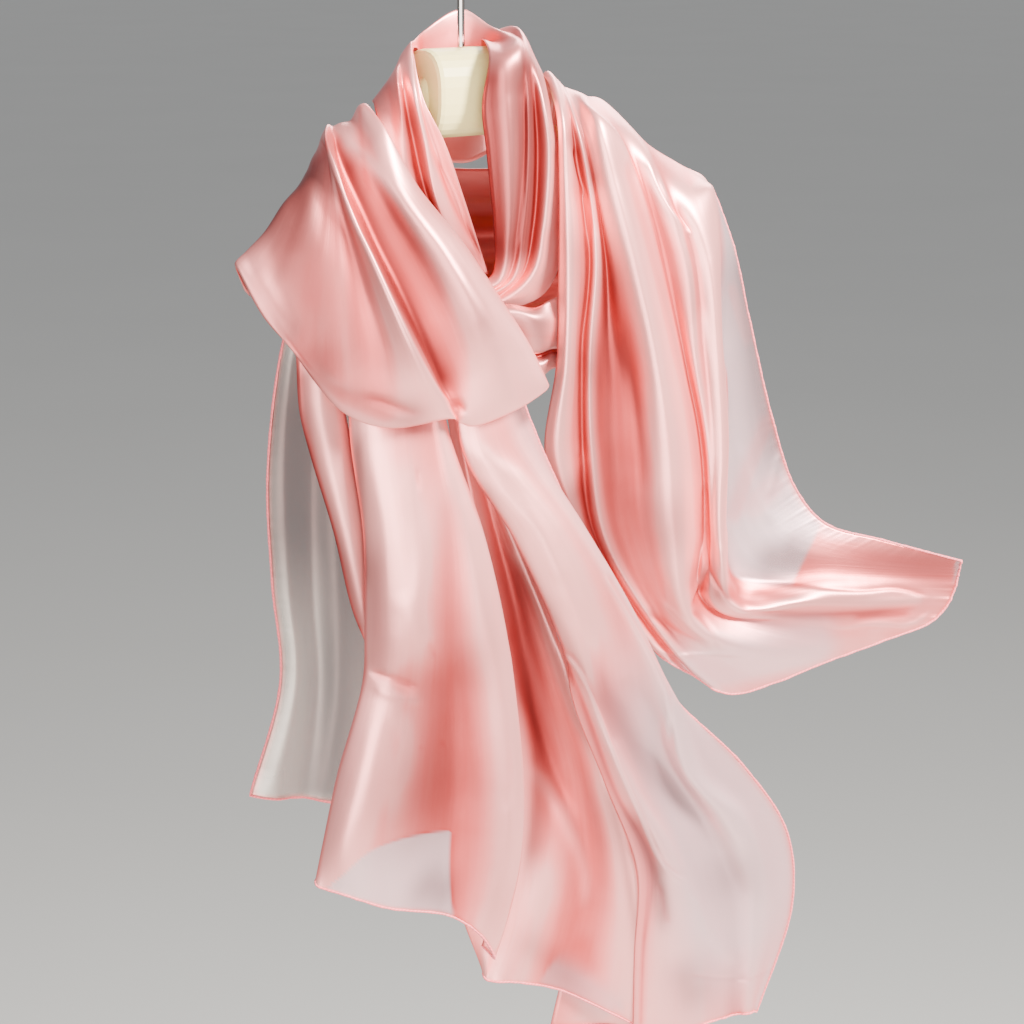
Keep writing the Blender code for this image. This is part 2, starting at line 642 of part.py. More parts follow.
def build():
    """Makes the hanger, then the scarf from the cowl backwards and downwards."""
    for old in list(bpy.data.objects):
        bpy.data.objects.remove(old)
    make_hanger_body()
    make_hanger_hook()
    back, front = (0, 1, 0), (0, -1, 0)
    neck = cloth_grid(NECK_WRAP)
    right = rest_against(cloth_grid(RIGHT_PANEL), [neck], back, 12.0)
    cowl = rest_against(cloth_grid(COWL), [neck], back, 12.0)
    drape = rest_against(cloth_grid(BACK_DRAPE), [neck, right, cowl], front)
    back_tail = rest_against(cloth_grid(BACK_TAIL), [drape], back, 12.0)
    crossing = rest_against(cloth_grid(CROSSING), [right, cowl], front)
    left = rest_against(cloth_grid(FRONT_TAIL_LEFT), [cowl], front)
    band = rest_against(cloth_grid(FRONT_TAIL_RIGHT), [cowl], front)
    middle = rest_against(cloth_grid(FRONT_TAIL_MIDDLE), [left, band], front)
    pleat = rest_against(cloth_grid(SIDE_PLEAT), [cowl, left], front)
    make_cloth("neck_wrap", neck)
    make_cloth("crossing", crossing)
    make_cloth("cowl", cowl)
    make_cloth("front_tail_left", left)
    make_cloth("front_tail_middle", middle)
    make_cloth("front_tail_right", band)
    make_cloth("side_pleat", pleat)
    make_cloth("back_tail", back_tail, PALE_PINK)
    make_cloth("right_panel", right)
    make_cloth("back_drape", drape)


build()
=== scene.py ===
import math

import bmesh
import bpy
import numpy as np
from bpy.props import FloatProperty, FloatVectorProperty, PointerProperty
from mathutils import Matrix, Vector


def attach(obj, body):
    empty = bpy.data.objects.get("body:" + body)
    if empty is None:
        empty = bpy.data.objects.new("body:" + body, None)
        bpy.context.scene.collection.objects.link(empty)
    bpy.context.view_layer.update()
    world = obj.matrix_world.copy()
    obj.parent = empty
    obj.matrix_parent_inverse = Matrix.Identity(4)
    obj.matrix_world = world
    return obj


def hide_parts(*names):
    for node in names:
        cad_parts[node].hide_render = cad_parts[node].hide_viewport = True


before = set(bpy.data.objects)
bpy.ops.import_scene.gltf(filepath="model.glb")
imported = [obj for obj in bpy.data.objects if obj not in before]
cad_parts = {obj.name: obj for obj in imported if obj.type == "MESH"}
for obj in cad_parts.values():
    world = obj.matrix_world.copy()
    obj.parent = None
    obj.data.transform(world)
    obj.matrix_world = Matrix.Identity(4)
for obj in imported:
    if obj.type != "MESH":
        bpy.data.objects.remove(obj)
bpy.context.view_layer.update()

bl_info = {
    "name": "Hijab scarf on a hanger",
    "version": (1, 0, 0),
    "blender": (4, 5, 0),
    "location": "View3D > Sidebar > Hijab",
    "description": "Dresses the scarf's sheets in satin with creases and rolled hems, and sets the studio",
    "category": "Object",
}

MM = 0.001
# The hanger is turned a little, so its right shoulder lies further back: depth for each unit to the right.
SLANT = math.tan(math.radians(22.0))
# Cloth this far in front of the slanted plane through the hook, in millimetres, is at the front of the scarf.
FRONT_DEPTH = 20

# How far each sheet of the model lies behind (or, below zero, in front of) its table, in millimetres.
SEAT = {
    "neck_wrap": 0.0, "right_panel": 3.003, "cowl": 2.475, "back_drape": 1.1, "back_tail": 2.638,
    "crossing": 2.111, "front_tail_left": -5.806, "front_tail_right": -8.273,
    "front_tail_middle": 10.987, "side_pleat": -17.249,
}


def points_of(text):
    """Points from text: numbers with a space between them and a comma after each point."""
    return [tuple(float(number) for number in point.split()) for point in text.split(",")]


def folds_of(text):
    """Folds of a sheet from text: each is a name, a colon and its points, with a semicolon between folds."""
    folds = (fold.split(":") for fold in text.split(";"))
    return {name.strip(): points_of(points) for name, points in folds}


# Fold lines of each sheet: the points, as x, depth and height in millimetres, that each fold passes through.
TABLES = {
    # From the inner edge to the outer edge. Each line runs from under the cowl, up the left side, round
    # behind the block, down the right side and back under the cowl.
    "neck_wrap": folds_of("""
        inner edge: 19 -38 -244, 3 -40 -191, -11 -40 -149, -25 -36 -120, -33 -13 -90.5, -31 12 -88.5,
            -26 31 -98, 2 42 -100, 13 30 -94, 14 14 -84, 20 -36 -94, 15 -40 -126, 18 -42 -158, 23 -42 -216,
            22 -44 -243, 12 -46 -249, -4 -48 -254;
        inner crease: 13 -37 -244, -4 -38 -189, -19 -37 -153, -29 -34 -116, -34 -11 -87.5, -32 12 -87,
            -26 31 -89, 1 43 -82, 17 31 -86, 25 10 -86, 29 -42 -93, 32 -48 -120, 35 -50 -160, 34 -49 -215,
            28 -50 -247, 16 -50 -253, -3 -50 -258;
        rim fold: 2 -42 -240, -16 -50 -190, -24 -49 -147, -31 -45 -112, -34.5 -6 -84.5, -33 13 -83.5,
            -26.5 31 -78, 0 46 -64.5, 19.5 33 -75.5, 33 6 -81, 42 -38 -87, 43 -42 -120, 43 -42 -160,
            39 -42 -214, 32 -43 -247, 18 -46 -256, -2 -46 -261;
        red trough: -8 -38 -236, -23 -38 -186, -32 -36 -148, -39 -35 -108, -41 -8 -92, -38 16 -91, -28 38 -88,
            2 52 -80, 19.5 39 -80, 36 10 -80.5, 44.5 -32 -89, 47 -44 -120, 48 -45 -160, 44 -45 -214,
            38 -46 -246, 20 -47 -258, -1 -45 -264;
        outer fold: -16 -42 -232, -32 -44 -184, -37 -47 -146, -42 -43 -106, -44 -8 -98, -43 18 -102,
            -32 41 -108, 3 54 -108, 27 42 -81, 38.5 18 -76, 47 -30 -90.5, 51 -37 -120, 54 -36 -160,
            51 -36 -213, 43 -38 -246, 25 -41 -260, 0 -41 -267;
        shoulder fall: -28 -40 -228, -42 -43 -182, -45 -43 -146, -49 -29 -110, -52 -4 -112, -50 20 -119,
            -38 43 -130, 5 57 -136, 34 43 -110, 44 14 -84, 52 -26 -98, 58 -43 -126, 62 -46 -160, 58 -46 -212,
            52 -46 -243, 37 -44 -260, 6 -41 -270;
        outer edge: -38 -42 -222, -51 -40 -180, -54 -41 -146, -59 -25 -123, -61 -2 -124, -56 22 -136,
            -45 44 -156, 4 59 -176, 42 41 -146, 51 8 -104, 56.5 -20 -105.5, 63 -26 -132, 70 -31 -162,
            72 -33 -212, 68 -34 -247, 56 -38 -263, 20 -38 -273"""),
    # Roll below the throat. Each line runs from under the cowl to behind the right panel.
    "crossing": folds_of("""
        upper edge: 8 -50 -266, 34 -50 -265, 52 -50 -269, 65 -46 -264, 84 -34 -262;
        crest: 10 -54 -272, 36 -56 -270, 52 -58 -274, 65 -52 -278, 84 -36 -282;
        belly: 24 -52 -286, 40 -55 -286, 54 -57 -289, 65 -51 -291, 84 -36 -297;
        lower fold: 34 -49 -297, 44 -51 -300, 55 -52 -301, 65 -47 -300, 84 -34 -306;
        gap: 38 -42 -301, 47 -43 -304, 56 -43 -305, 65 -40 -303, 82 -32 -309;
        second lobe: 42 -46 -308, 50 -49 -310, 57 -49 -311, 64 -46 -308, 80 -34 -312;
        lower edge: 47 -42 -316, 53 -43 -320, 58 -44 -320, 64 -43 -316, 76 -34 -317"""),
    # From behind the left shoulder to its right edge. Each line runs from the back, over the arm, down the
    # front and a little way under at the bottom fold.
    "cowl": folds_of("""
        behind the shoulder: -92 22 -208, -98 0 -164, -104 -14 -178, -110 -18 -194, -119 -24 -210,
            -130 -34 -224, -140 -48 -234, -145 -58 -240, -141 -58 -246;
        left outline: -92 26 -204, -100 -24 -157.5, -103.5 -38 -165, -109 -47 -174.5, -118.5 -55 -185,
            -130 -61 -202, -142 -66 -214, -149 -69 -221, -145.5 -62 -229;
        left fall: -90 28 -204, -97.5 -26 -152.5, -97.5 -46 -162, -101.5 -60 -177.5, -109 -70 -200.5,
            -118.5 -76 -225, -127.5 -81 -243.5, -131 -82 -255, -127.5 -72 -254.5;
        left belly: -88 29 -204, -96 -27 -148, -88 -51 -153, -90 -69 -192, -94 -80 -222, -99 -86 -254,
            -105 -87 -284, -114.5 -86 -276, -113 -75 -273;
        lower belly: -86 30 -204, -94.5 -28 -143.5, -88 -54 -152, -82 -73 -200, -80 -85 -236, -79 -90 -272,
            -79 -88 -308, -80 -85 -325, -76 -75 -317;
        slope to the ridge: -84 30 -203, -92.5 -29 -139.5, -87 -56 -150, -74 -76 -204, -64 -88 -243,
            -56 -93 -281, -52 -90 -322, -50 -86 -339, -47 -76 -329;
        ridge: -82 31 -202, -89.5 -31 -135.5, -89.5 -56 -146, -64 -86 -205, -48 -99 -239, -31 -104 -277,
            -16 -98 -311, -5 -89 -336, -6 -78 -327;
        red crease: -79 31 -201, -87 -28 -137, -84 -48 -149, -59 -72 -206, -42 -82 -241, -25 -87 -278,
            -11 -85 -312, 0 -82 -341, 0 -74 -330;
        trough: -75 31 -199, -82 -28 -135, -76 -48 -146, -47 -72 -196, -27 -84 -232, -9 -91 -269, 3 -89 -307,
            8 -83 -344, 7 -74 -332;
        panel: -70 31 -195, -75 -27 -133.5, -62 -54 -149, -38 -78 -184, -12 -92 -219, 10 -99 -257,
            24 -94 -299, 30 -85 -338, 28 -76 -327;
        right highlight: -65 30 -189, -69.5 -25 -124, -56 -55 -141, -33 -74 -180, -6 -88 -216, 18 -94 -255,
            38 -90 -294, 50 -84 -329, 46 -76 -319;
        right edge: -61 29 -184, -66.5 -22 -123, -52 -52 -135, -28 -64 -178, 1 -76 -214, 27 -82 -254,
            49 -82 -291, 62 -80 -320, 57 -73 -313;
        turned under: -59 26 -182, -68 -19 -126, -57 -43 -142, -34 -58 -183, -6 -69 -219, 19 -74 -258,
            41 -75 -293, 54 -74 -315, 50 -71 -309"""),
    # Left front panel of the hanging end. The first two lines are its layer folded back behind it.
    "front_tail_left": folds_of("""
        back layer edge: -16 -47 -288, -18 -46 -350, -18 -45 -420, -16 -45 -490, -14 -45 -530, -12 -45 -580,
            -11 -45 -620, -11 -45 -646;
        back layer: -46 -47 -288, -50 -46 -350, -48 -45 -420, -48 -45 -490, -50 -44 -530, -56 -44 -585,
            -61 -44 -628, -62 -44 -654;
        left fold: -76 -51 -284, -77 -53 -346, -69 -54 -420, -69 -54 -490, -71 -53 -530, -90 -53 -598,
            -101 -53 -648, -107 -54 -678;
        left crest: -61 -60 -285, -62 -65 -348, -54 -70 -420, -52 -69 -490, -57 -62 -530, -74 -69 -600,
            -86 -68 -652, -86 -63 -687;
        broad crest: -40 -62 -287, -40 -68 -350, -33 -75 -425, -32 -74 -492, -36 -65 -533, -50 -68 -606,
            -57 -66 -662, -54 -62 -704;
        soft trough: -26 -61 -289, -20 -66 -352, -10 -71 -425, -8 -68 -495, -8 -61 -540, -8 -59 -612,
            -12 -58 -672, -10 -58 -720;
        right crest: -22 -60 -290, -13 -66 -352, 7 -71 -425, 19 -72 -495, 27 -70 -545, 34 -71 -622,
            30 -68 -686, 13 -63 -738;
        right fold: -20 -57 -290, -8 -61 -352, 15 -66 -422, 31 -67 -495, 38 -67 -548, 45 -68 -630,
            41 -66 -692, 23 -60 -760;
        tuck: -25 -53 -290, -15 -54 -352, 6 -56 -422, 21 -57 -495, 28 -57 -548, 34 -58 -630, 30 -57 -690,
            13 -54 -750"""),
    # The deep trough between the left panel and the diagonal band.
    "front_tail_middle": folds_of("""
        back layer edge: -12 -40 -335, -4 -37 -400, 2 -36 -480, 4 -36 -560, 2 -36 -640, -6 -38 -718,
            13 -43 -784;
        left fold: -6 -44 -338, 6 -44 -402, 18 -45 -482, 25 -46 -562, 28 -47 -642, 28 -48 -728, 16 -49 -789;
        trough: 0 -43 -341, 15 -40 -405, 34 -38 -480, 52 -39 -560, 66 -43 -640, 60 -52 -722, 42 -53 -795;
        slope: 6 -43 -343, 20 -41 -408, 43 -43 -479, 66 -47 -556, 88 -49 -640, 92 -50 -718, 72 -48 -809;
        middle ridge: 11 -44 -345, 25 -44 -411, 51 -49 -478, 79 -58 -554, 106 -61 -640, 124 -62 -714,
            114 -56 -834;
        right fold: 15 -43 -346, 30 -43 -414, 56 -46 -482, 83 -57 -558, 110 -60 -642, 135 -61 -724,
            139 -60 -852;
        tuck: 9 -38 -346, 22 -37 -414, 48 -38 -482, 74 -46 -560, 100 -48 -644, 120 -48 -726, 112 -46 -848;
        returned layer: 5 -35 -346, 14 -33 -414, 36 -33 -482, 58 -38 -560, 80 -41 -644, 88 -42 -726,
            66 -42 -842"""),
    # A diagonal band that opens into the wide single layer with its hemmed edge.
    "front_tail_right": folds_of("""
        left tuck: 4 -52 -300, 12 -54 -366, 44 -54 -428, 74 -50 -500, 80 -46 -562, 106 -46 -636, 132 -46 -712,
            131 -42 -785, 131 -42 -850;
        left edge: -4 -55 -302, 1 -60 -364, 37 -63 -431, 67 -61 -503, 88 -52 -566, 113 -51 -640, 141 -49 -706,
            138 -45 -785, 137 -45 -850;
        bright ridge: 5 -57 -301, 13 -66 -367, 56 -72 -432, 82 -70 -500, 96 -60 -566, 124 -61 -638,
            152 -59 -699, 168 -55 -770, 172 -54 -850;
        slope: 13 -58 -302, 24 -66 -364, 68 -70 -430, 100 -66 -503, 112 -54 -570, 140 -49 -642, 170 -48 -698,
            192 -50 -765, 200 -50 -850;
        dark trough: 19 -58 -301, 34 -64 -361, 78 -66 -428, 114 -63 -500, 134 -56 -568, 162 -44 -640,
            190 -43 -692, 210 -47 -748, 214 -47 -850;
        upper ridge: 24 -57 -300, 42 -62 -359, 84 -63 -427, 121 -63 -496, 151 -65 -562, 171 -58 -637,
            202 -55 -678, 226 -52 -740, 224 -50 -850;
        right edge: 29 -55 -300, 48 -58 -358, 88 -58 -428, 126 -59 -498, 156 -59 -563, 193 -50 -638,
            228 -48 -688, 244 -47 -750, 229 -48 -850;
        hemmed edge: 33 -50 -300, 52 -51 -356, 84 -51 -430, 120 -52 -501, 154 -53 -567, 216 -46 -640,
            253 -44 -702, 259 -44 -765, 232 -46 -852"""),
    # Narrow pleat seen between the front panel and the back tail.
    "side_pleat": folds_of("""
        left edge: -112 -40 -284, -111 -36 -328, -105 -32 -360, -90 -31 -419, -78 -31 -478, -66 -31 -512;
        crest: -96 -46 -288, -97 -42 -328, -92 -39 -362, -81 -37 -421, -70 -35 -480, -60 -32 -515;
        right edge: -80 -42 -292, -80 -38 -330, -74 -35 -364, -63 -34 -423, -56 -33 -482, -54 -32 -518"""),
    # Thin single layer behind, at the left.
    "back_tail": folds_of("""
        hemmed edge: -98 40 -211, -128 44 -290, -143 44 -392, -142 44 -478, -138 44 -556, -162 42 -643;
        soft ridge: -94 38 -208, -119 39 -294, -131 39 -394, -130 39 -480, -126 39 -558, -145 38 -647;
        soft trough: -86 41 -210, -106 47 -300, -114 48 -396, -114 48 -482, -112 48 -562, -124 46 -652;
        inner ridge: -78 39 -212, -90 41 -304, -94 40 -400, -94 40 -486, -94 40 -566, -103 40 -657;
        inner edge: -70 41 -214, -70 45 -308, -70 46 -404, -70 46 -490, -72 46 -572, -82 46 -663"""),
    # Fall over the right shoulder, from the narrow panel at its left to the free edge of the single layer.
    # Each line runs from behind, over the shoulder, down the front and out to the flung end.
    "right_panel": folds_of("""
        narrow panel edge: 50 50 -156, 57 10 -111, 67 -36 -132.5, 69 -48 -180, 69 -52 -240, 68 -52 -308,
            60 -46 -381, 84 -40 -445, 116 -38 -505, 130 -37 -524, 144 -36 -543;
        narrow panel crest: 53 51 -158, 61 10 -108, 71 -40 -132, 74 -54 -179, 76 -61 -240, 75 -61 -308,
            70 -54 -379, 91 -46 -446, 124 -43 -508, 141 -42 -534, 158 -41 -554;
        narrow panel crease: 57 51 -161, 66 9 -112.5, 77 -34 -136, 84 -42 -179, 91 -44 -240, 86 -43 -306,
            88 -41 -380, 98 -38 -447, 132 -38 -511, 156 -39 -543, 175 -39 -566;
        small ridge: 61 52 -163, 70 9 -117, 81 -40 -139.5, 90 -50 -180, 96 -53 -240, 92 -52 -308, 94 -50 -379,
            105 -44 -448, 141 -45 -515, 170 -46 -555, 194 -45 -579;
        red trough: 64 51 -165, 72 8 -119, 84 -35 -141.5, 94 -44 -182, 104 -37 -243, 105 -37 -309,
            106 -43 -379, 116 -43 -446, 150 -44 -517, 186 -47 -561, 209 -45 -584;
        ridge flank: 68 52 -167, 75.5 8 -120.5, 88.5 -39 -143, 97 -48 -184, 110 -48 -244, 120 -45 -310,
            127 -49 -379, 134 -49 -446, 160 -49 -519, 206 -48 -562, 236 -45 -580;
        great ridge: 76 54 -172, 81.5 8 -123.5, 95.5 -45 -138.5, 109 -57 -183, 124 -61 -240, 140 -63 -308,
            152 -64 -380, 158 -63 -447, 172 -58 -516, 235 -51 -554, 284 -46 -567;
        coral crease: 86 53 -179, 88 7 -126, 108 -34 -141.5, 125 -43 -181, 145 -46 -242, 160 -46 -310,
            175 -46 -381, 180 -44 -448, 180 -42 -504, 262 -48 -538, 336 -45 -555;
        shoulder ridge: 100 56 -188, 97.5 7 -128, 119 -18 -145, 140 -44 -180, 162 -53 -240, 170 -52 -311,
            181 -52 -382, 185 -51 -449, 191 -49 -511, 272 -49 -529, 366 -44 -548;
        shoulder crease: 120 57 -204, 125.5 8 -159.5, 138 -10 -164, 147 -38 -185, 168 -50 -240, 178 -51 -312,
            186 -53 -382, 188 -53 -450, 198 -52 -512, 278 -50 -521, 378 -42 -541;
        outer roll: 146 56 -224, 150 8 -176, 160 -2 -178.5, 166 -40 -197, 180 -54 -242, 188 -56 -312,
            193 -57 -382, 193 -57 -450, 205 -55 -509, 282 -51 -513, 386 -40 -531;
        roll edge: 168 50 -236, 175.5 8 -187.5, 181.5 -6 -192, 183 -28 -194.5, 188 -38 -230, 193 -42 -312,
            198 -45 -384, 199 -45 -451, 208 -46 -503, 285 -46 -506, 390 -38 -522;
        behind the roll: 172 48 -238, 178.5 10 -190.5, 184 0 -197, 187 -14 -202, 193 -25 -232.5, 188 -30 -314,
            192 -32 -385, 195 -33 -450, 212 -36 -494, 288 -40 -499, 392 -37 -514;
        single layer: 175 46 -239, 182 14 -194, 187 5 -202, 191.5 -6 -212, 199.5 -14 -239, 211.5 -18 -311.5,
            219 -20 -384, 232 -24 -444, 252 -30 -470, 302 -36 -488, 393 -38 -507;
        free edge: 177 44 -240, 185.5 18 -198.5, 190 10 -206.5, 195 2 -219.5, 204 -4 -245.5, 220 -8 -315.5,
            237 -12 -380, 256 -18 -432, 280 -26 -460, 328 -34 -477, 394 -40 -500"""),
    # Stretch across the back. Each line runs from the left shoulder to the right shoulder.
    "back_drape": folds_of("""
        upper edge: -62 16 -142, -66 52 -162, -50 64 -172, -8 70 -181, 44 72 -184, 96 69 -186, 140 64 -199,
            164 50 -212;
        first fold: -64 18 -145, -72 56 -172, -57 73 -192, -10 82 -203, 44 84 -206, 100 79 -204, 144 70 -208,
            168 51 -218;
        first trough: -67 16 -148, -79 50 -182, -63 64 -212, -13 69 -225, 44 71 -228, 104 68 -221,
            147 64 -217, 172 49 -224;
        second fold: -70 18 -152, -87 56 -193, -69 73 -232, -17 82 -247, 44 84 -249, 108 79 -239, 150 69 -228,
            175 50 -230;
        second trough: -73 16 -156, -94 49 -204, -75 63 -250, -21 68 -267, 42 70 -269, 111 68 -255,
            153 63 -238, 178 48 -236;
        lower fold: -76 17 -160, -100 52 -214, -81 69 -264, -25 77 -286, 40 79 -288, 113 75 -269, 155 66 -248,
            180 48 -241;
        lower edge: -79 14 -164, -103 45 -221, -86 60 -271, -28 67 -297, 38 69 -299, 114 67 -280, 156 61 -254,
            181 45 -245"""),
}


def both(width):
    """Half widths at the left and the right of a path, given alike or apart."""
    return width if isinstance(width, tuple) else (width, width)


def stroke(along, width, relief, tone, fade=25.0):
    """One soft crease or crest of a sheet.

    along is a fold's name or a path of (x, height) points as text. width is its half width in millimetres, or
    those at the left and the right of a path that goes down. relief is how far it stands out, and tone is how
    much painted shade (or, below zero, painted highlight) the satin takes there. fade is the length over
    which each end dies away. A path that goes to the right has its left below it and its right above it.
    """
    return along, both(width), relief, (tone, tone), fade, False


def lip(along, width, relief, pale, deep, fade=12.0):
    """One sharp lip: the cloth stands out and takes a painted highlight at the path's left, and painted shade
    at its right.
    """
    return along, both(width), relief, (-pale, deep), fade, True
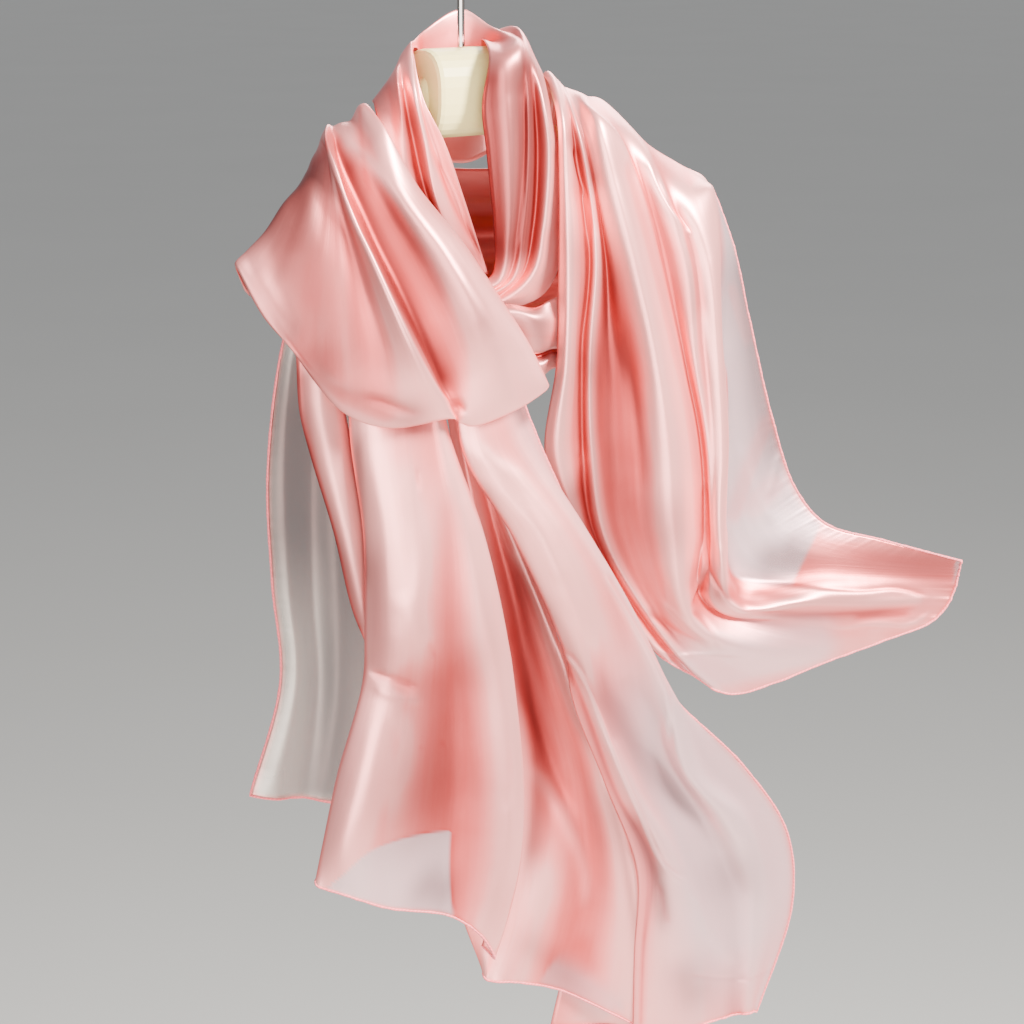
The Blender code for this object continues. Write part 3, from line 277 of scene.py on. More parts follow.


# Creases, crests and lips of each sheet that are finer than its folds. Their tones are painted shade in
# creases and under edges and painted highlight on crests; those with no relief are painted shade or
# highlight alone.
STROKES = {
    "neck_wrap": (
        stroke("-33 -86, -32 -100, -26 -128, -19 -155, -13 -180, 5 -219, 20 -246", 2.2, 0.8, -0.22, 12),
        stroke("-40 -96, -41 -111, -37 -139, -33 -161, -27 -180", (3.5, 4.0), -1.0, 0.38, 18),
        stroke("-17 -158, -5 -193, 13 -231, 19 -245", 1.7, -0.9, 0.35, 12),
        stroke("-30 -170, -14 -205, 2 -236", 3.5, -0.8, 0.25, 14),
        lip("43 -86, 44 -116, 44 -157, 42 -213, 34 -245", (4.5, 3.0), 0.5, 0.14, 0.34, 12),
        stroke("49 -96, 52 -116, 53 -158, 53 -207, 49 -237", 3.4, -0.5, 0.30, 18),
        stroke("50 -89, 58 -108, 62 -137, 62 -179, 61 -221", 3.4, 0.5, -0.16, 14),
        stroke("22 -94, 22 -126, 24 -158, 28 -216, 26 -243", 6.0, -0.5, 0.24, 14),
        stroke("12 -104, 13 -128, 16 -158, 19 -200", 4.0, 0.3, -0.05, 12),
        stroke("66 -150, 68 -185, 67 -225", 3.0, -0.7, 0.25, 14),
        # Painted shade alone on the inner cloth seen through the neck opening.
        stroke("-14 -99, -2 -101, 9 -98", 8.0, 0.0, 0.45, 6),
    ),
    "crossing": (
        stroke("gap", 2.2, -0.8, 0.5, 6),
        stroke("crest", 4.0, 0.5, -0.2, 10),
        stroke("belly", 3.0, 0.0, 0.12, 10),
    ),
    "cowl": (
        lip(
            "-87 -138, -82 -160, -71 -191, -57 -219, -39 -259, -22 -297, -7 -326",
            (5.0, 4.5), 1.7, 0.35, 0.62, 10),
        stroke("-59 -209, -50 -229, -39 -249, -29 -275", 9, 0.3, 0.14, 30),
        stroke("-67 -126, -53 -143, -41 -162, -24 -186, -2 -212, 17 -241, 36 -275, 54 -309", 5, 0.35, -0.12),
        stroke("-54 -151, -40 -174, -20 -200, -3 -228, 13 -259, 24 -295", 9, 0.3, -0.08),
        stroke("14 -263, 19 -275, 25 -287", 3.5, -0.6, 0.1, 10),
        stroke("-16 -220, -2 -248, 8 -276, 10 -306", 10, 0.3, -0.05, 30),
        stroke("-99 -204, -95 -227, -87 -247, -77 -264", 18, -0.4, 0.05, 30),
        stroke("-139 -225, -131 -238, -116 -259, -104 -271", 7, 0.8, -0.25, 15),
        stroke("-71 -314, -55 -319, -38 -326, -21 -334", 3.0, -1.5, 0.25, 15),
        stroke("-105 -285, -88 -302, -68 -313", 5, 0.5, -0.2, 15),
        stroke("-6 -324, 0 -329, 3 -334", 2.5, -2.0, 0.5, 5),
        stroke("right edge", 1.8, 0.0, 0.25, 12),
    ),
    "front_tail_left": (
        stroke("-8 -352, -22 -430, -44 -500, -58 -545, -74 -665", 9, 0.8, -0.18, 50),
        stroke("-44 -457, -35 -480, -25 -505", 8, 0.8, -0.25, 14),
        stroke("-4 -470, -4 -505, -6 -549, -6 -600, -10 -650", (14, 14), -0.6, 0.0, 35),
        stroke("-69 -519, -52 -525, -27 -538", 3.5, -1.6, 0.22, 12),
        stroke("-66 -530, -47 -540, -24 -548", 4.0, 0.9, -0.15, 12),
        stroke("-58 -534, -47 -552, -38 -581, -49 -617", 7, 0.7, -0.22, 20),
        stroke("30 -504, 37 -551, 40 -598, 39 -646, 34 -700", 3.4, 0.7, -0.42, 20),
        stroke("33 -629, 31 -686, 30 -736, 25 -756", 3.0, 0.5, -0.25, 12),
        stroke("-66 -332, -45 -340, -21 -344", 6, -0.5, 0.3, 12),
        stroke("-31 -369, -30 -376, -29 -389", 1.6, -0.5, 0.1, 8),
        stroke("-23 -498, -19 -515", 1.8, -0.6, 0.12, 6),
        stroke("-16 -577, -13 -587", 1.8, -0.5, 0.1, 5),
        stroke("-32 -578, -28 -585", 1.8, -0.5, 0.1, 4),
        stroke("left fold", 1.8, 0.0, 0.5, 8),
        stroke("right fold", 1.8, 0.0, 0.4, 8),
        stroke("-60 -652, -47 -650, -33 -650, -9 -652", 1.4, 0.5, 0.32, 4),
        stroke("-9 -652, -11 -686, -7 -717", 1.3, 0.4, 0.28, 4),
    ),
    "front_tail_middle": (
        stroke("31 -444, 54 -490, 64 -521, 76 -561, 87 -598", 3.5, 0.7, -0.3, 15),
        stroke("32 -493, 46 -564, 62 -613, 84 -669", (6, 6), -0.9, 0.18, 30),
        stroke("46 -617, 72 -661, 91 -712, 92 -748", 5, 0.9, -0.3, 20),
        stroke("69 -517, 83 -576, 102 -624, 129 -697", 3.0, 0.7, -0.35, 20),
        stroke("128 -696, 133 -715, 136 -764, 138 -829", 3.0, 0.4, -0.35, 12),
        stroke("85 -760, 104 -812", 9, -0.6, 0.12, 20),
        stroke("left fold", 1.8, 0.0, 0.3, 8),
        stroke("right fold", 1.8, 0.0, 0.4, 8),
    ),
    "front_tail_right": (
        stroke("left edge", 2.0, 0.0, 0.6, 10),
        stroke("6 -356, 20 -372, 38 -387, 52 -413, 62 -436, 74 -470", 6, 0.9, -0.35, 15),
        stroke("71 -479, 93 -522, 109 -558, 132 -587", 5, -0.7, 0.18, 20),
        lip(
            "72 -519, 85 -537, 102 -575, 116 -615, 133 -658, 150 -701, 171 -726",
            (3.0, 3.5), 1.3, 0.3, 0.42, 12),
        stroke("116 -545, 132 -570, 149 -593", 6, -0.7, 0.22, 12),
        stroke("128 -601, 152 -630, 171 -653, 190 -685", 5, -0.9, 0.22, 12),
        stroke("155 -601, 162 -624, 177 -644, 202 -684, 216 -701", 5, 1.1, -0.22, 15),
        lip("103 -464, 124 -503, 147 -547, 154 -569, 155 -608, 159 -619", 3.0, 0.9, 0.15, 0.35, 12),
        stroke("193 -711, 213 -733, 232 -753", 9, -0.6, 0.10, 15),
        stroke("171 -734, 195 -779, 215 -809", 6, 0.9, -0.25, 15),
        stroke("149 -721, 154 -744, 158 -762", 2.0, -0.7, 0.35, 8),
        stroke("175 -804, 215 -819, 245 -817", 1.3, -0.5, 0.2, 5),
        stroke("89 -544, 101 -572, 116 -606", 5, -0.7, 0.22, 12),
    ),
    "side_pleat": (
        stroke("left edge", 2.0, 0.0, 0.5, 10),
        stroke("crest", 5, 0.6, -0.2, 10),
    ),
    "right_panel": (
        lip(
            "78 -154, 82 -177, 90 -199, 91 -238, 89 -281, 87 -311, 86 -356, 86 -386",
            (3.5, 3.0), 1.1, 0.15, 0.5, 10),
        stroke("78 -186, 80 -221, 79 -278, 78 -323, 73 -375", 2.6, 0.6, -0.38, 20),
        stroke("79 -156, 84 -177, 89 -195", 2.2, -1.0, 0.45, 8),
        stroke("94 -208, 96 -237, 93 -280, 92 -325", 2.6, 0.9, -0.32, 15),
        stroke("102 -206, 108 -239, 111 -284, 113 -314, 115 -360", (6, 9), -0.6, 0.10, 40),
        stroke("86 -386, 91 -425, 97 -460", (3.0, 1.6), -0.9, 0.34, 20),
        stroke("123 -298, 127 -343, 130 -388, 134 -419", 8, -0.6, 0.10, 30),
        lip(
            "84 -124, 109 -146, 126 -179, 136 -210, 144 -241, 159 -305, 165 -332, 173 -367, 179 -412, "
            "181 -484, 170 -507", (6, 5), 1.8, 0.28, 0.42, 12),
        lip("134 -165, 143 -191, 158 -213, 170 -227", (4, 4), 1.1, 0.15, 0.35, 10),
        lip(
            "187 -205, 189 -240, 190 -273, 193 -318, 198 -339, 198 -405, 197 -457",
            (3, 4), 0.9, 0.2, 0.32, 15),
        stroke("174 -272, 184 -332, 188 -401, 189 -447, 194 -471", 3.5, 0.7, -0.3, 20),
        stroke("179 -412, 184 -475, 193 -493, 206 -509", 2.0, -0.9, 0.35, 10),
        stroke("192 -456, 198 -487, 209 -504", 2.0, 0.9, -0.3, 8),
        stroke("206 -509, 224 -517, 275 -526, 325 -531, 359 -533", (3.2, 2.2), -0.8, 0.34, 12),
        stroke("216 -506, 234 -510, 304 -521, 338 -525, 366 -529", 3.4, 0.7, -0.18, 12),
        lip("205 -490, 212 -495, 262 -504, 308 -513, 338 -516, 367 -527", (4, 3), 0.6, 0.10, 0.28, 10),
        stroke("170 -507, 181 -518, 190 -532, 191 -546", 1.8, -1.0, 0.4, 8),
        stroke("135 -507, 163 -528, 180 -537", 3.0, -0.9, 0.3, 10),
        stroke("147 -499, 171 -522, 187 -536", 2.5, 0.7, -0.25, 10),
        stroke("137 -533, 154 -545, 191 -547, 216 -551", 1.8, 0.6, -0.2, 10),
        stroke("212 -282, 225 -337, 244 -402", 3.0, 0.6, -0.25, 25),
        stroke("209 -387, 216 -411, 227 -436, 239 -460", 2.5, 0.6, -0.25, 15),
        stroke("243 -398, 239 -415, 233 -437", 2.5, 0.6, -0.2, 10),
        stroke("275 -529, 289 -539, 323 -541, 347 -546, 360 -543, 371 -536", 1.8, 0.5, -0.18, 8),
        stroke("300 -533, 330 -536, 355 -538", 3.0, -0.7, 0.4, 10),
    ),
    "back_drape": (
        stroke("-62 -200, -20 -214, 44 -217, 100 -212, 140 -212", 7.0, -0.8, 0.12, 25),
        stroke("-70 -222, -24 -238, 40 -240, 104 -230", 7.0, 0.7, -0.08, 25),
        stroke("-50 -250, -10 -262, 44 -262, 96 -252", 6.0, -0.8, 0.12, 25),
    ),
}

# Share of a single sheer layer at each fold; folds that aren't named are two or more layers deep.
SHEER = {
    "back_tail": dict.fromkeys(TABLES["back_tail"], 1.0),
    "right_panel": {"behind the roll": 0.4, "single layer": 1.0, "free edge": 1.0},
    "front_tail_right": {"upper ridge": 0.15, "right edge": 0.4, "hemmed edge": 0.75},
}

# The next three tables hold soft places of each sheet: a path of (x, height) points, the half widths at its
# left and right in millimetres, the strength and the fade at its ends.

# Broad shades, where the cloth turns from the light or lies in a hollow. Below zero it faces the light.
SHADES = {
    "neck_wrap": (
        ("-7 -67, 4 -77, 0 -89", 16, 16, 0.50, 12),
        ("-44 -97, -56 -120, -54 -145", 8, 8, 0.35, 18),
        ("44 -76, 47 -136, 46 -192, 38 -250", 16, 14, 0.78, 25),
        ("20 -80, 22 -142, 23 -191, 27 -250", 18, 16, 0.78, 30),
        ("-38 -110, -33 -150, -20 -196, -4 -232", 7, 7, 0.35, 25),
        ("-20 -99, -4 -103, 10 -100", 14, 14, 0.58, 14),
    ),
    "crossing": (
        ("47 -262, 57 -284, 60 -320", 9, 12, 0.50, 12),
        ("10 -262, 28 -262, 46 -264", 7, 7, 0.40, 12),
        ("6 -282, 32 -280, 64 -286", 26, 26, 0.46, 30),
    ),
    "cowl": (
        ("-112 -110, -106 -210, -98 -255, -86 -340", 52, 38, 0.88, 60),
        ("-108 -190, -122 -220, -134 -236", 14, 14, 0.30, 24),
        ("-85 -142, -76 -137, -70 -146", 7, 7, 0.35, 12),
        ("-62 -150, -46 -190, -28 -230, -10 -270", 26, 32, 0.52, 60),
        ("-82 -146, -70 -178, -56 -214, -37 -254, -17 -297, -6 -324", 2.5, 8, 0.72, 20),
        ("-38 -196, -14 -240, 8 -276, 26 -312", 28, 30, 0.42, 60),
        ("-108 -271, -80 -314, -41 -328, -10 -331", 13, 13, 0.50, 25),
        ("-62 -255, -46 -285, -26 -308", 20, 16, 0.35, 30),
        ("0 -286, 22 -300, 48 -318", 20, 20, -0.42, 24),
    ),
    "front_tail_left": (
        ("-72 -335, -70 -409, -69 -468", 4, 5, 0.50, 25),
        ("-60 -332, -40 -338, -14 -346", 11, 14, 0.45, 20),
        ("-60 -410, -60 -455, -60 -500, -66 -545", 10, 11, 0.40, 35),
        ("8 -440, -4 -503, -14 -560, -18 -610, -18 -650, -12 -700", 46, 34, 0.50, 100),
        ("22 -530, 26 -600, 25 -660, 20 -720, 12 -770", 28, 18, 0.28, 80),
        ("-60 -505, -46 -528, -22 -550", 18, 18, 0.20, 28),
        ("-44 -560, -38 -620, -30 -680", 32, 30, 0.34, 60),
        ("-44 -682, -14 -698, 6 -704", 18, 18, 0.42, 22),
        ("-40 -350, -44 -410, -46 -470", 15, 20, -0.24, 45),
        ("-63 -535, -71 -572", 8, 9, -0.22, 20),
        ("-58 -560, -54 -600, -50 -640", 10, 10, -0.18, 30),
        ("10 -403, 27 -479, 36 -523, 43 -587, 40 -659, 28 -723", 6, 5, -0.45, 35),
    ),
    "front_tail_middle": (
        ("14 -380, 34 -470, 42 -515, 50 -560, 60 -605, 76 -690", 15, 14, 0.42, 100),
        ("52 -486, 63 -523, 80 -567, 102 -628, 120 -690, 129 -761", 9, 7, -0.34, 45),
        ("88 -620, 103 -700, 108 -800", 18, 16, 0.22, 80),
        ("34 -450, 43 -505, 50 -560, 54 -610, 53 -660, 46 -723", 5, 11, 0.52, 40),
        ("26 -430, 55 -496, 78 -560, 100 -625", 7, 7, 0.45, 45),
        ("106 -632, 121 -695, 132 -763, 137 -826", 4, 3, 0.35, 24),
        ("34 -745, 66 -783, 98 -821", 12, 12, 0.25, 30),
        ("54 -680, 70 -755", 15, 15, -0.20, 35),
    ),
    "front_tail_right": (
        ("37 -331, 49 -353", 7, 8, 0.55, 10),
        ("10 -380, 28 -420, 50 -466, 70 -510", 5, 5, 0.50, 25),
        ("58 -461, 69 -503, 90 -545, 115 -581, 137 -623, 167 -663, 196 -688", 8, 10, 0.34, 50),
        ("80 -526, 97 -577, 115 -623, 134 -671, 152 -714", 5, 5, -0.30, 30),
        ("118 -649, 134 -681, 149 -722, 154 -775", 5, 7, 0.48, 30),
        ("182 -700, 212 -733, 246 -749", 18, 20, 0.34, 45),
        ("160 -780, 178 -820, 192 -845", 16, 16, 0.30, 30),
        ("13 -361, 45 -404, 72 -448, 92 -493, 114 -534, 139 -562", 13, 15, -0.30, 40),
        ("149 -567, 165 -624, 189 -672, 227 -698", 9, 10, -0.25, 35),
    ),
    "side_pleat": (
        ("-108 -290, -104 -360, -84 -440, -70 -505", 8, 7, 0.62, 16),
        ("-80 -300, -76 -350, -66 -420, -56 -500", 8, 8, 0.52, 18),
        ("-95 -310, -88 -343, -80 -385, -72 -440", 7, 7, -0.25, 20),
    ),
    "back_tail": (
        ("-106 -300, -108 -366, -102 -434, -98 -512, -103 -591, -114 -660", 19, 32, 0.70, 15),
        ("-122 -250, -124 -400, -126 -540", 34, 34, 0.80, 110),
        ("-138 -515, -141 -571, -154 -640", 9, 9, 0.30, 24),
    ),
    "right_panel": (
        ("73 -133, 86 -163, 99 -197", 9, 9, 0.50, 21),
        ("79 -200, 88 -281, 94 -342", 9, 8, 0.32, 35),
        ("80 -385, 91 -440, 110 -487", 11, 9, 0.60, 28),
        ("102 -205, 109 -280, 114 -350, 120 -410, 130 -475", 11, 18, 0.50, 60),
        ("94 -270, 100 -340, 106 -400, 118 -460, 130 -510", 26, 26, 0.42, 60),
        ("150 -400, 156 -440, 158 -475", 14, 12, 0.28, 35),
        ("162 -212, 169 -255, 171 -300", 5, 5, 0.30, 27),
        ("214 -474, 262 -486, 330 -494, 410 -500", 28, 22, 0.56, 26),
        ("216 -519, 262 -526, 320 -532, 350 -533", 4, 5, 0.35, 30),
        ("181 -465, 190 -495, 208 -508", 11, 8, 0.58, 20),
        ("206 -225, 220 -300, 234 -370, 248 -430", 18, 18, 0.55, 40),
        ("204 -446, 228 -456, 256 -462", 16, 14, -0.80, 14),
        ("88 -126, 113 -165, 136 -239, 152 -300, 162 -382, 171 -469, 166 -505", 7, 8, -0.30, 35),
        ("134 -166, 166 -194, 182 -235, 189 -300, 193 -360, 194 -440", 12, 8, -0.28, 30),
        ("145 -482, 163 -520, 195 -550", 12, 12, -0.20, 22),
        ("180 -526, 228 -560, 276 -552, 343 -551", 14, 10, -0.25, 22),
    ),
    "back_drape": (
        ("-62 -190, -20 -200, 44 -203, 100 -200, 140 -200", 40, 34, 0.36, 60),
        ("-62 -225, -10 -244, 44 -244, 100 -232", 40, 34, 0.36, 60),
    ),
}

# Where a sheet thins to a single layer away from its folds.
THIN_PLACES = {
    "front_tail_middle": (
        ("60 -790, 95 -815, 120 -835", 12, 12, 0.35, 6),
    ),
    "right_panel": (
        ("150 -566, 200 -562, 260 -556, 300 -552", 16, 30, 0.6, 30),
    ),
    "front_tail_right": (
        ("110 -480, 165 -620, 196 -720, 204 -900", 40, 95, 0.8, 170),
    ),
}

# Where a sheer sheet lies doubled and closes again.
DOUBLED_PLACES = {
    "right_panel": (
        ("261 -485, 275 -492, 330 -497, 390 -505", 30, 26, 1.0, 3),
        ("222 -508, 262 -512, 300 -514, 372 -522", 8, 8, 0.85, 12),
        ("204 -456, 214 -424, 227 -392, 238 -368", 4, 8, 0.34, 14),
        ("214 -452, 232 -434, 250 -420", 7, 12, 0.26, 14),
        ("197 -262, 205 -286, 216 -320", 3, 5, 0.30, 14),
    ),
}

# Folds beyond which a sheet lies single: it is sheer only on the right side of the path.
SINGLE_BEYOND = {
    "right_panel":
        "181 -196, 187 -215, 190 -273, 194 -318, 198 -339, 198 -405, 197 -457, 204 -488, 222 -499, "
        "262 -507, 308 -515, 400 -530",
}

# A back layer that ends short: below the first path and left of the second the front layer alone is left,
# sheer to the share given last.
SHORT_BACK_LAYER = {
    "front_tail_left": (
        "-88 -672, -72 -657, -60 -652, -47 -650, -33 -650, -9 -652",
        "-9 -645, -11 -686, -7 -730",
        0.85,
    ),
}

# Borders that show the rolled hem: the first or last fold, or the lower end of all of them.
HEMS = {
    "front_tail_left": ("lower end",),
    "front_tail_middle": ("lower end",),
    "front_tail_right": ("last fold", "lower end"),
    "back_tail": ("first fold", "lower end"),
    "right_panel": ("last fold", "lower end"),
}

# Painted light and shade of the satin, as a tone from 0 where it gleams to 1 in a recess: the tone of flat
# cloth, and what its shape takes from it, so that crests are painted paler and hollows deeper. Each row is
# the reach over which a place is set against what lies round it, the rise above that which counts as full,
# both in millimetres, and the share.
FLAT_TONE = 0.42
RISES = ((8.0, 0.5, 0.25), (21.0, 2.0, 0.23))
# Closely pleated sheets take less, so that their folds don't become stripes.
CALM_SHEETS, CALM = ("neck_wrap", "back_drape"), 0.6
# Steps between neighbouring points of a path.
PATH_STEPS = 6
# Strength given to every shade, the deepest that one may be, and how much of it a lit place takes away.
SHADE_GAIN, DEEPEST_SHADE, LIT_GAIN = 1.2, 0.92, 0.9
# Millimetres over which a lip drops, the neck wrap loses its shades towards the back, and sheer cloth begins
# where it lies single or under a short layer.
LIP_DROP, BACK_FADE, SINGLE_EDGE, SHORT_EDGE = 1.2, 7.0, 2.0, 1.6
# How much sheer folds, thin places and doubled places are widened, so that each is even in its middle.
SHEER_GAIN, THIN_GAIN, DOUBLED_GAIN = 1.5, 1.4, 1.6

# Slight unevenness of hanging cloth: length of each wave in millimetres and its share.
RIPPLES = ((90.0, 0.5), (48.0, 0.3), (26.0, 0.16), (15.0, 0.07))
RIPPLE_HEIGHT, RIPPLES_OF_EACH = 0.3, 3
# How much height and depth count beside width in a ripple, and how far and over what height it wanders.
RIPPLE_RISE, RIPPLE_DEPTH, RIPPLE_DRIFT, RIPPLE_DRIFT_HEIGHT = 0.45, 0.6, 0.8, 37.0

# Waves along a hem: their lengths, how far and over what length they wander, and the sum that counts as full.
HEM_WAVES, HEM_DRIFT, HEM_DRIFT_LENGTH, FULL_WAVE = (7.0, 11.0, 17.0, 29.0), 1.3, 23.0, 2.4
# How far in from a hem the cloth puckers, is darkened by the seam and is doubled by the turned edge.
PUCKER_REACH, SEAM_REACH, TURNED_REACH = 7.0, 2.0, 2.4
# Share of the pucker at a side border, and the strength of the seam's tone and of the doubling.
SIDE_PUCKER, SEAM_TONE, TURNED = 0.3, 0.25, 0.7
# Corners of the rolled hem's section, how uneven it is, the share of its width at its two ends, the width of
# its stitch pattern and the shortest step of its path, both in metres.
HEM_CORNERS, HEM_UNEVEN, HEM_END, HEM_STITCH, HEM_STEP = 8, 0.16, 0.5, 0.006, 0.00001

# How much of the sheer colour a single layer takes, and how high streaks and floats stand beside wrinkles.
SHEER_TINT, STREAK_HEIGHT, FLOAT_HEIGHT = 0.85, 0.5, 0.12

# Place, size and colour of each light, in metres from the hook's bearing.
LIGHTS = {
    "key": ((2.5, -1.1, 1.5), 0.9, (1.0, 0.97, 0.94)),
    "front": ((0.3, -2.6, -0.3), 2.2, (1.0, 0.98, 0.96)),
    "fill": ((-2.0, -1.8, 0.3), 1.4, (0.95, 0.97, 1.0)),
    "rim": ((0.6, 2.0, 0.9), 1.4, (1.0, 0.98, 0.96)),
}
# The lights look at the middle of the scarf.
SCARF_MIDDLE = (0.036, 0.0, -0.427)
# The camera's place in metres, its tilt from straight down in degrees, its lens and sensor in millimetres.
CAMERA_PLACE, CAMERA_TILT, CAMERA_LENS, CAMERA_SENSOR = (0.0359, -1.7387, 0.0391), 75.0, 85.5, 36.0
SURROUND_COLOUR = (0.92, 0.95, 1.0, 1.0)
FLOOR_SIZE = 240.0


# ---------------------------------------------------------------- sizes and colours

def tint(name, description, default):
    """Setting of one colour."""
    return FloatVectorProperty(
        name=name, description=description, default=default, size=3, min=0.0, max=1.0, subtype="COLOR")


def measure(name, description, default, unit, least=0.0):
    """Setting of one length or power that is never below its least."""
    return FloatProperty(name=name, description=description, default=default, min=least, unit=unit)


class ScarfSizes(bpy.types.PropertyGroup):
    """Colours of the satin and its hem, with the painted highlight and painted shade of its folds"""
    mesh_step: measure("Mesh step", "Distance between neighbouring points", 0.0018, "LENGTH", 0.001)
    cloth_thickness: measure("Cloth thickness", "Wall of the satin", 0.0005, "LENGTH", 0.0002)
    hem_radius: measure("Hem radius", "Radius of the rolled hem", 0.0009, "LENGTH", 0.0003)
    pucker: measure("Hem pucker", "How far the cloth beside a hem waves in and out", 0.0004, "LENGTH")
    relief: FloatProperty(
        name="Crease relief", description="Strength of the fine creases and crests",
        default=1.0, min=0.0, subtype="FACTOR")


class ScarfColours(bpy.types.PropertyGroup):
    """Colours of the satin and its hem"""
    # Gleam and crest are painted highlight for crests, trough and recess painted shade for hollows, and
    # middle the satin between; the painted tone of each place chooses among them.
    gleam: tint("Gleam", "Satin where it faces the light fully", (0.99, 0.40, 0.37))
    crest: tint("Crest", "Satin on crests, where it catches the light", (0.985, 0.285, 0.265))
    middle: tint("Middle", "Satin on plain stretches", (0.93, 0.215, 0.2))
    trough: tint("Trough", "Satin in troughs between folds", (0.80, 0.145, 0.135))
    recess: tint("Recess", "Satin deep in a recess", (0.62, 0.065, 0.06))
    shade: tint("Shade", "Share of the satin's colour that is left in deep shade", (0.16, 0.07, 0.07))
    sheer: tint("Sheer layer", "A single layer with nothing behind it", (0.92, 0.70, 0.72))
    # Painted shade: a darker, greyer copy of the sheer colour, for the single layer that hangs in shade
    # behind.
    veil: tint("Back veil", "The single layer that hangs behind", (0.70, 0.70, 0.60))
    hem: tint("Hem", "Thread and roll of the hem", (0.85, 0.14, 0.16))


class HangerLook(bpy.types.PropertyGroup):
    """Colours of the hanger"""
    ivory: tint("Ivory", "Moulded plastic of the hanger", (0.79, 0.655, 0.27))
    steel: tint("Steel", "Polished wire of the hook", (0.44, 0.40, 0.37))


class StudioSet(bpy.types.PropertyGroup):
    """Floor, lights and surround of the studio"""
    floor_height: FloatProperty(
        name="Floor height", description="Height of the studio floor, below the hook",
        default=-2.4, unit="LENGTH")
    floor: tint("Floor", "Paint of the studio floor", (0.60, 0.585, 0.55))
    key_power: measure("Key light", "Power of the soft light at the upper right", 690.0, "POWER")
    front_power: measure("Front light", "Power of the low light in front", 158.0, "POWER")
    fill_power: measure("Fill light", "Power of the light at the left", 6.0, "POWER")
    rim_power: measure("Rim light", "Power of the light behind", 70.0, "POWER")
    sky: FloatProperty(
        name="Surround", description="Brightness of the even light all round", default=0.55, min=0.0)


# ---------------------------------------------------------------- sheets

def smooth_through(points, steps):
    """Smooth curves through points (knot, curve, channel), with steps[k] spans between knots k and k + 1."""
    p = np.concatenate([2 * points[:1] - points[1:2], points, 2 * points[-1:] - points[-2:-1]])
    gaps = np.linalg.norm(np.diff(p[..., :3], axis=0), axis=2) ** 0.5 + 1e-6
    t = np.concatenate([np.zeros((1, p.shape[1])), np.cumsum(gaps, axis=0)])[..., None]
    made = [p[1:2]]
    for k, count in enumerate(steps):
        a, b, c, d = p[k : k + 4]
        ta, tb, tc, td = t[k : k + 4]
        s = tb + (tc - tb) * (np.arange(1, count + 1) / count)[:, None, None]
        ab = (a * (tb - s) + b * (s - ta)) / (tb - ta)
        bc = (b * (tc - s) + c * (s - tb)) / (tc - tb)
        cd = (c * (td - s) + d * (s - tc)) / (td - tc)
        abc = (ab * (tc - s) + bc * (s - ta)) / (tc - ta)
        bcd = (bc * (td - s) + cd * (s - tb)) / (td - tb)
        made.append((abc * (tc - s) + bcd * (s - tb)) / (tc - tb))
    return np.concatenate(made)


def mean_gaps(lines, axis):
    """Mean distance between neighbouring points of a table along one axis."""
    return np.linalg.norm(np.diff(lines[..., :3], axis=axis), axis=2).mean(axis=1 - axis)


def sheet_grid(name, step):
    """Grid (across, along, channel) of a sheet in millimetres: x, y, z and the share of sheer layer."""
    sheer = SHEER.get(name, {})
    lines = np.array([[(*p, sheer.get(fold, 0.0)) for p in points] for fold, points in TABLES[name].items()])
    lines[:, :, 1] += lines[:, :, 0] * SLANT + SEAT[name]
    spans = [max(2, round(x / step)) for x in mean_gaps(lines, 1)]
    lines = smooth_through(lines.transpose(1, 0, 2), spans).transpose(1, 0, 2)
    return smooth_through(lines, [max(2, round(x / step)) for x in mean_gaps(lines, 0)])


def softened(grid, reach):
    """The grid blurred over a reach, counted in points, with its borders carried on straight."""
    offsets = np.arange(-2 * reach, 2 * reach + 1)
    weights = np.exp(-0.5 * (offsets / max(reach, 1)) ** 2)
    weights /= weights.sum()
    for axis in (0, 1):
        count = grid.shape[axis]
        pad = 2 * reach
        index = np.arange(-pad, count + pad)
        inside = np.clip(index, 0, count - 1)
        mirrored = np.clip(2 * inside - index, 0, count - 1)
        padded = 2 * np.take(grid, inside, axis) - np.take(grid, mirrored, axis)
        grid = sum(w * np.take(padded, np.arange(count) + pad + o, axis) for w, o in zip(weights, offsets))
    return grid


def normals_of(grid):
    """Unit normals of a grid of points, on the side that the front of the scarf shows."""
    found = np.cross(np.gradient(grid, axis=0), np.gradient(grid, axis=1))
    found /= np.linalg.norm(found, axis=2, keepdims=True) + 1e-9
    front = grid[..., 1] < grid[..., 0] * SLANT - FRONT_DEPTH
    facing = found[..., 1][front] if front.any() else -found[..., 1]
    return found if facing.mean() < 0 else -found


def path_of(name, along):
    """Smooth path (x, height) along a fold of a sheet, or through the points given as text."""
    folds = TABLES[name]
    points = [(p[0], 0.0, p[-1]) for p in (folds[along] if along in folds else points_of(along))]
    return smooth_through(np.array(points)[:, None], [PATH_STEPS] * (len(points) - 1))[:, 0, ::2]


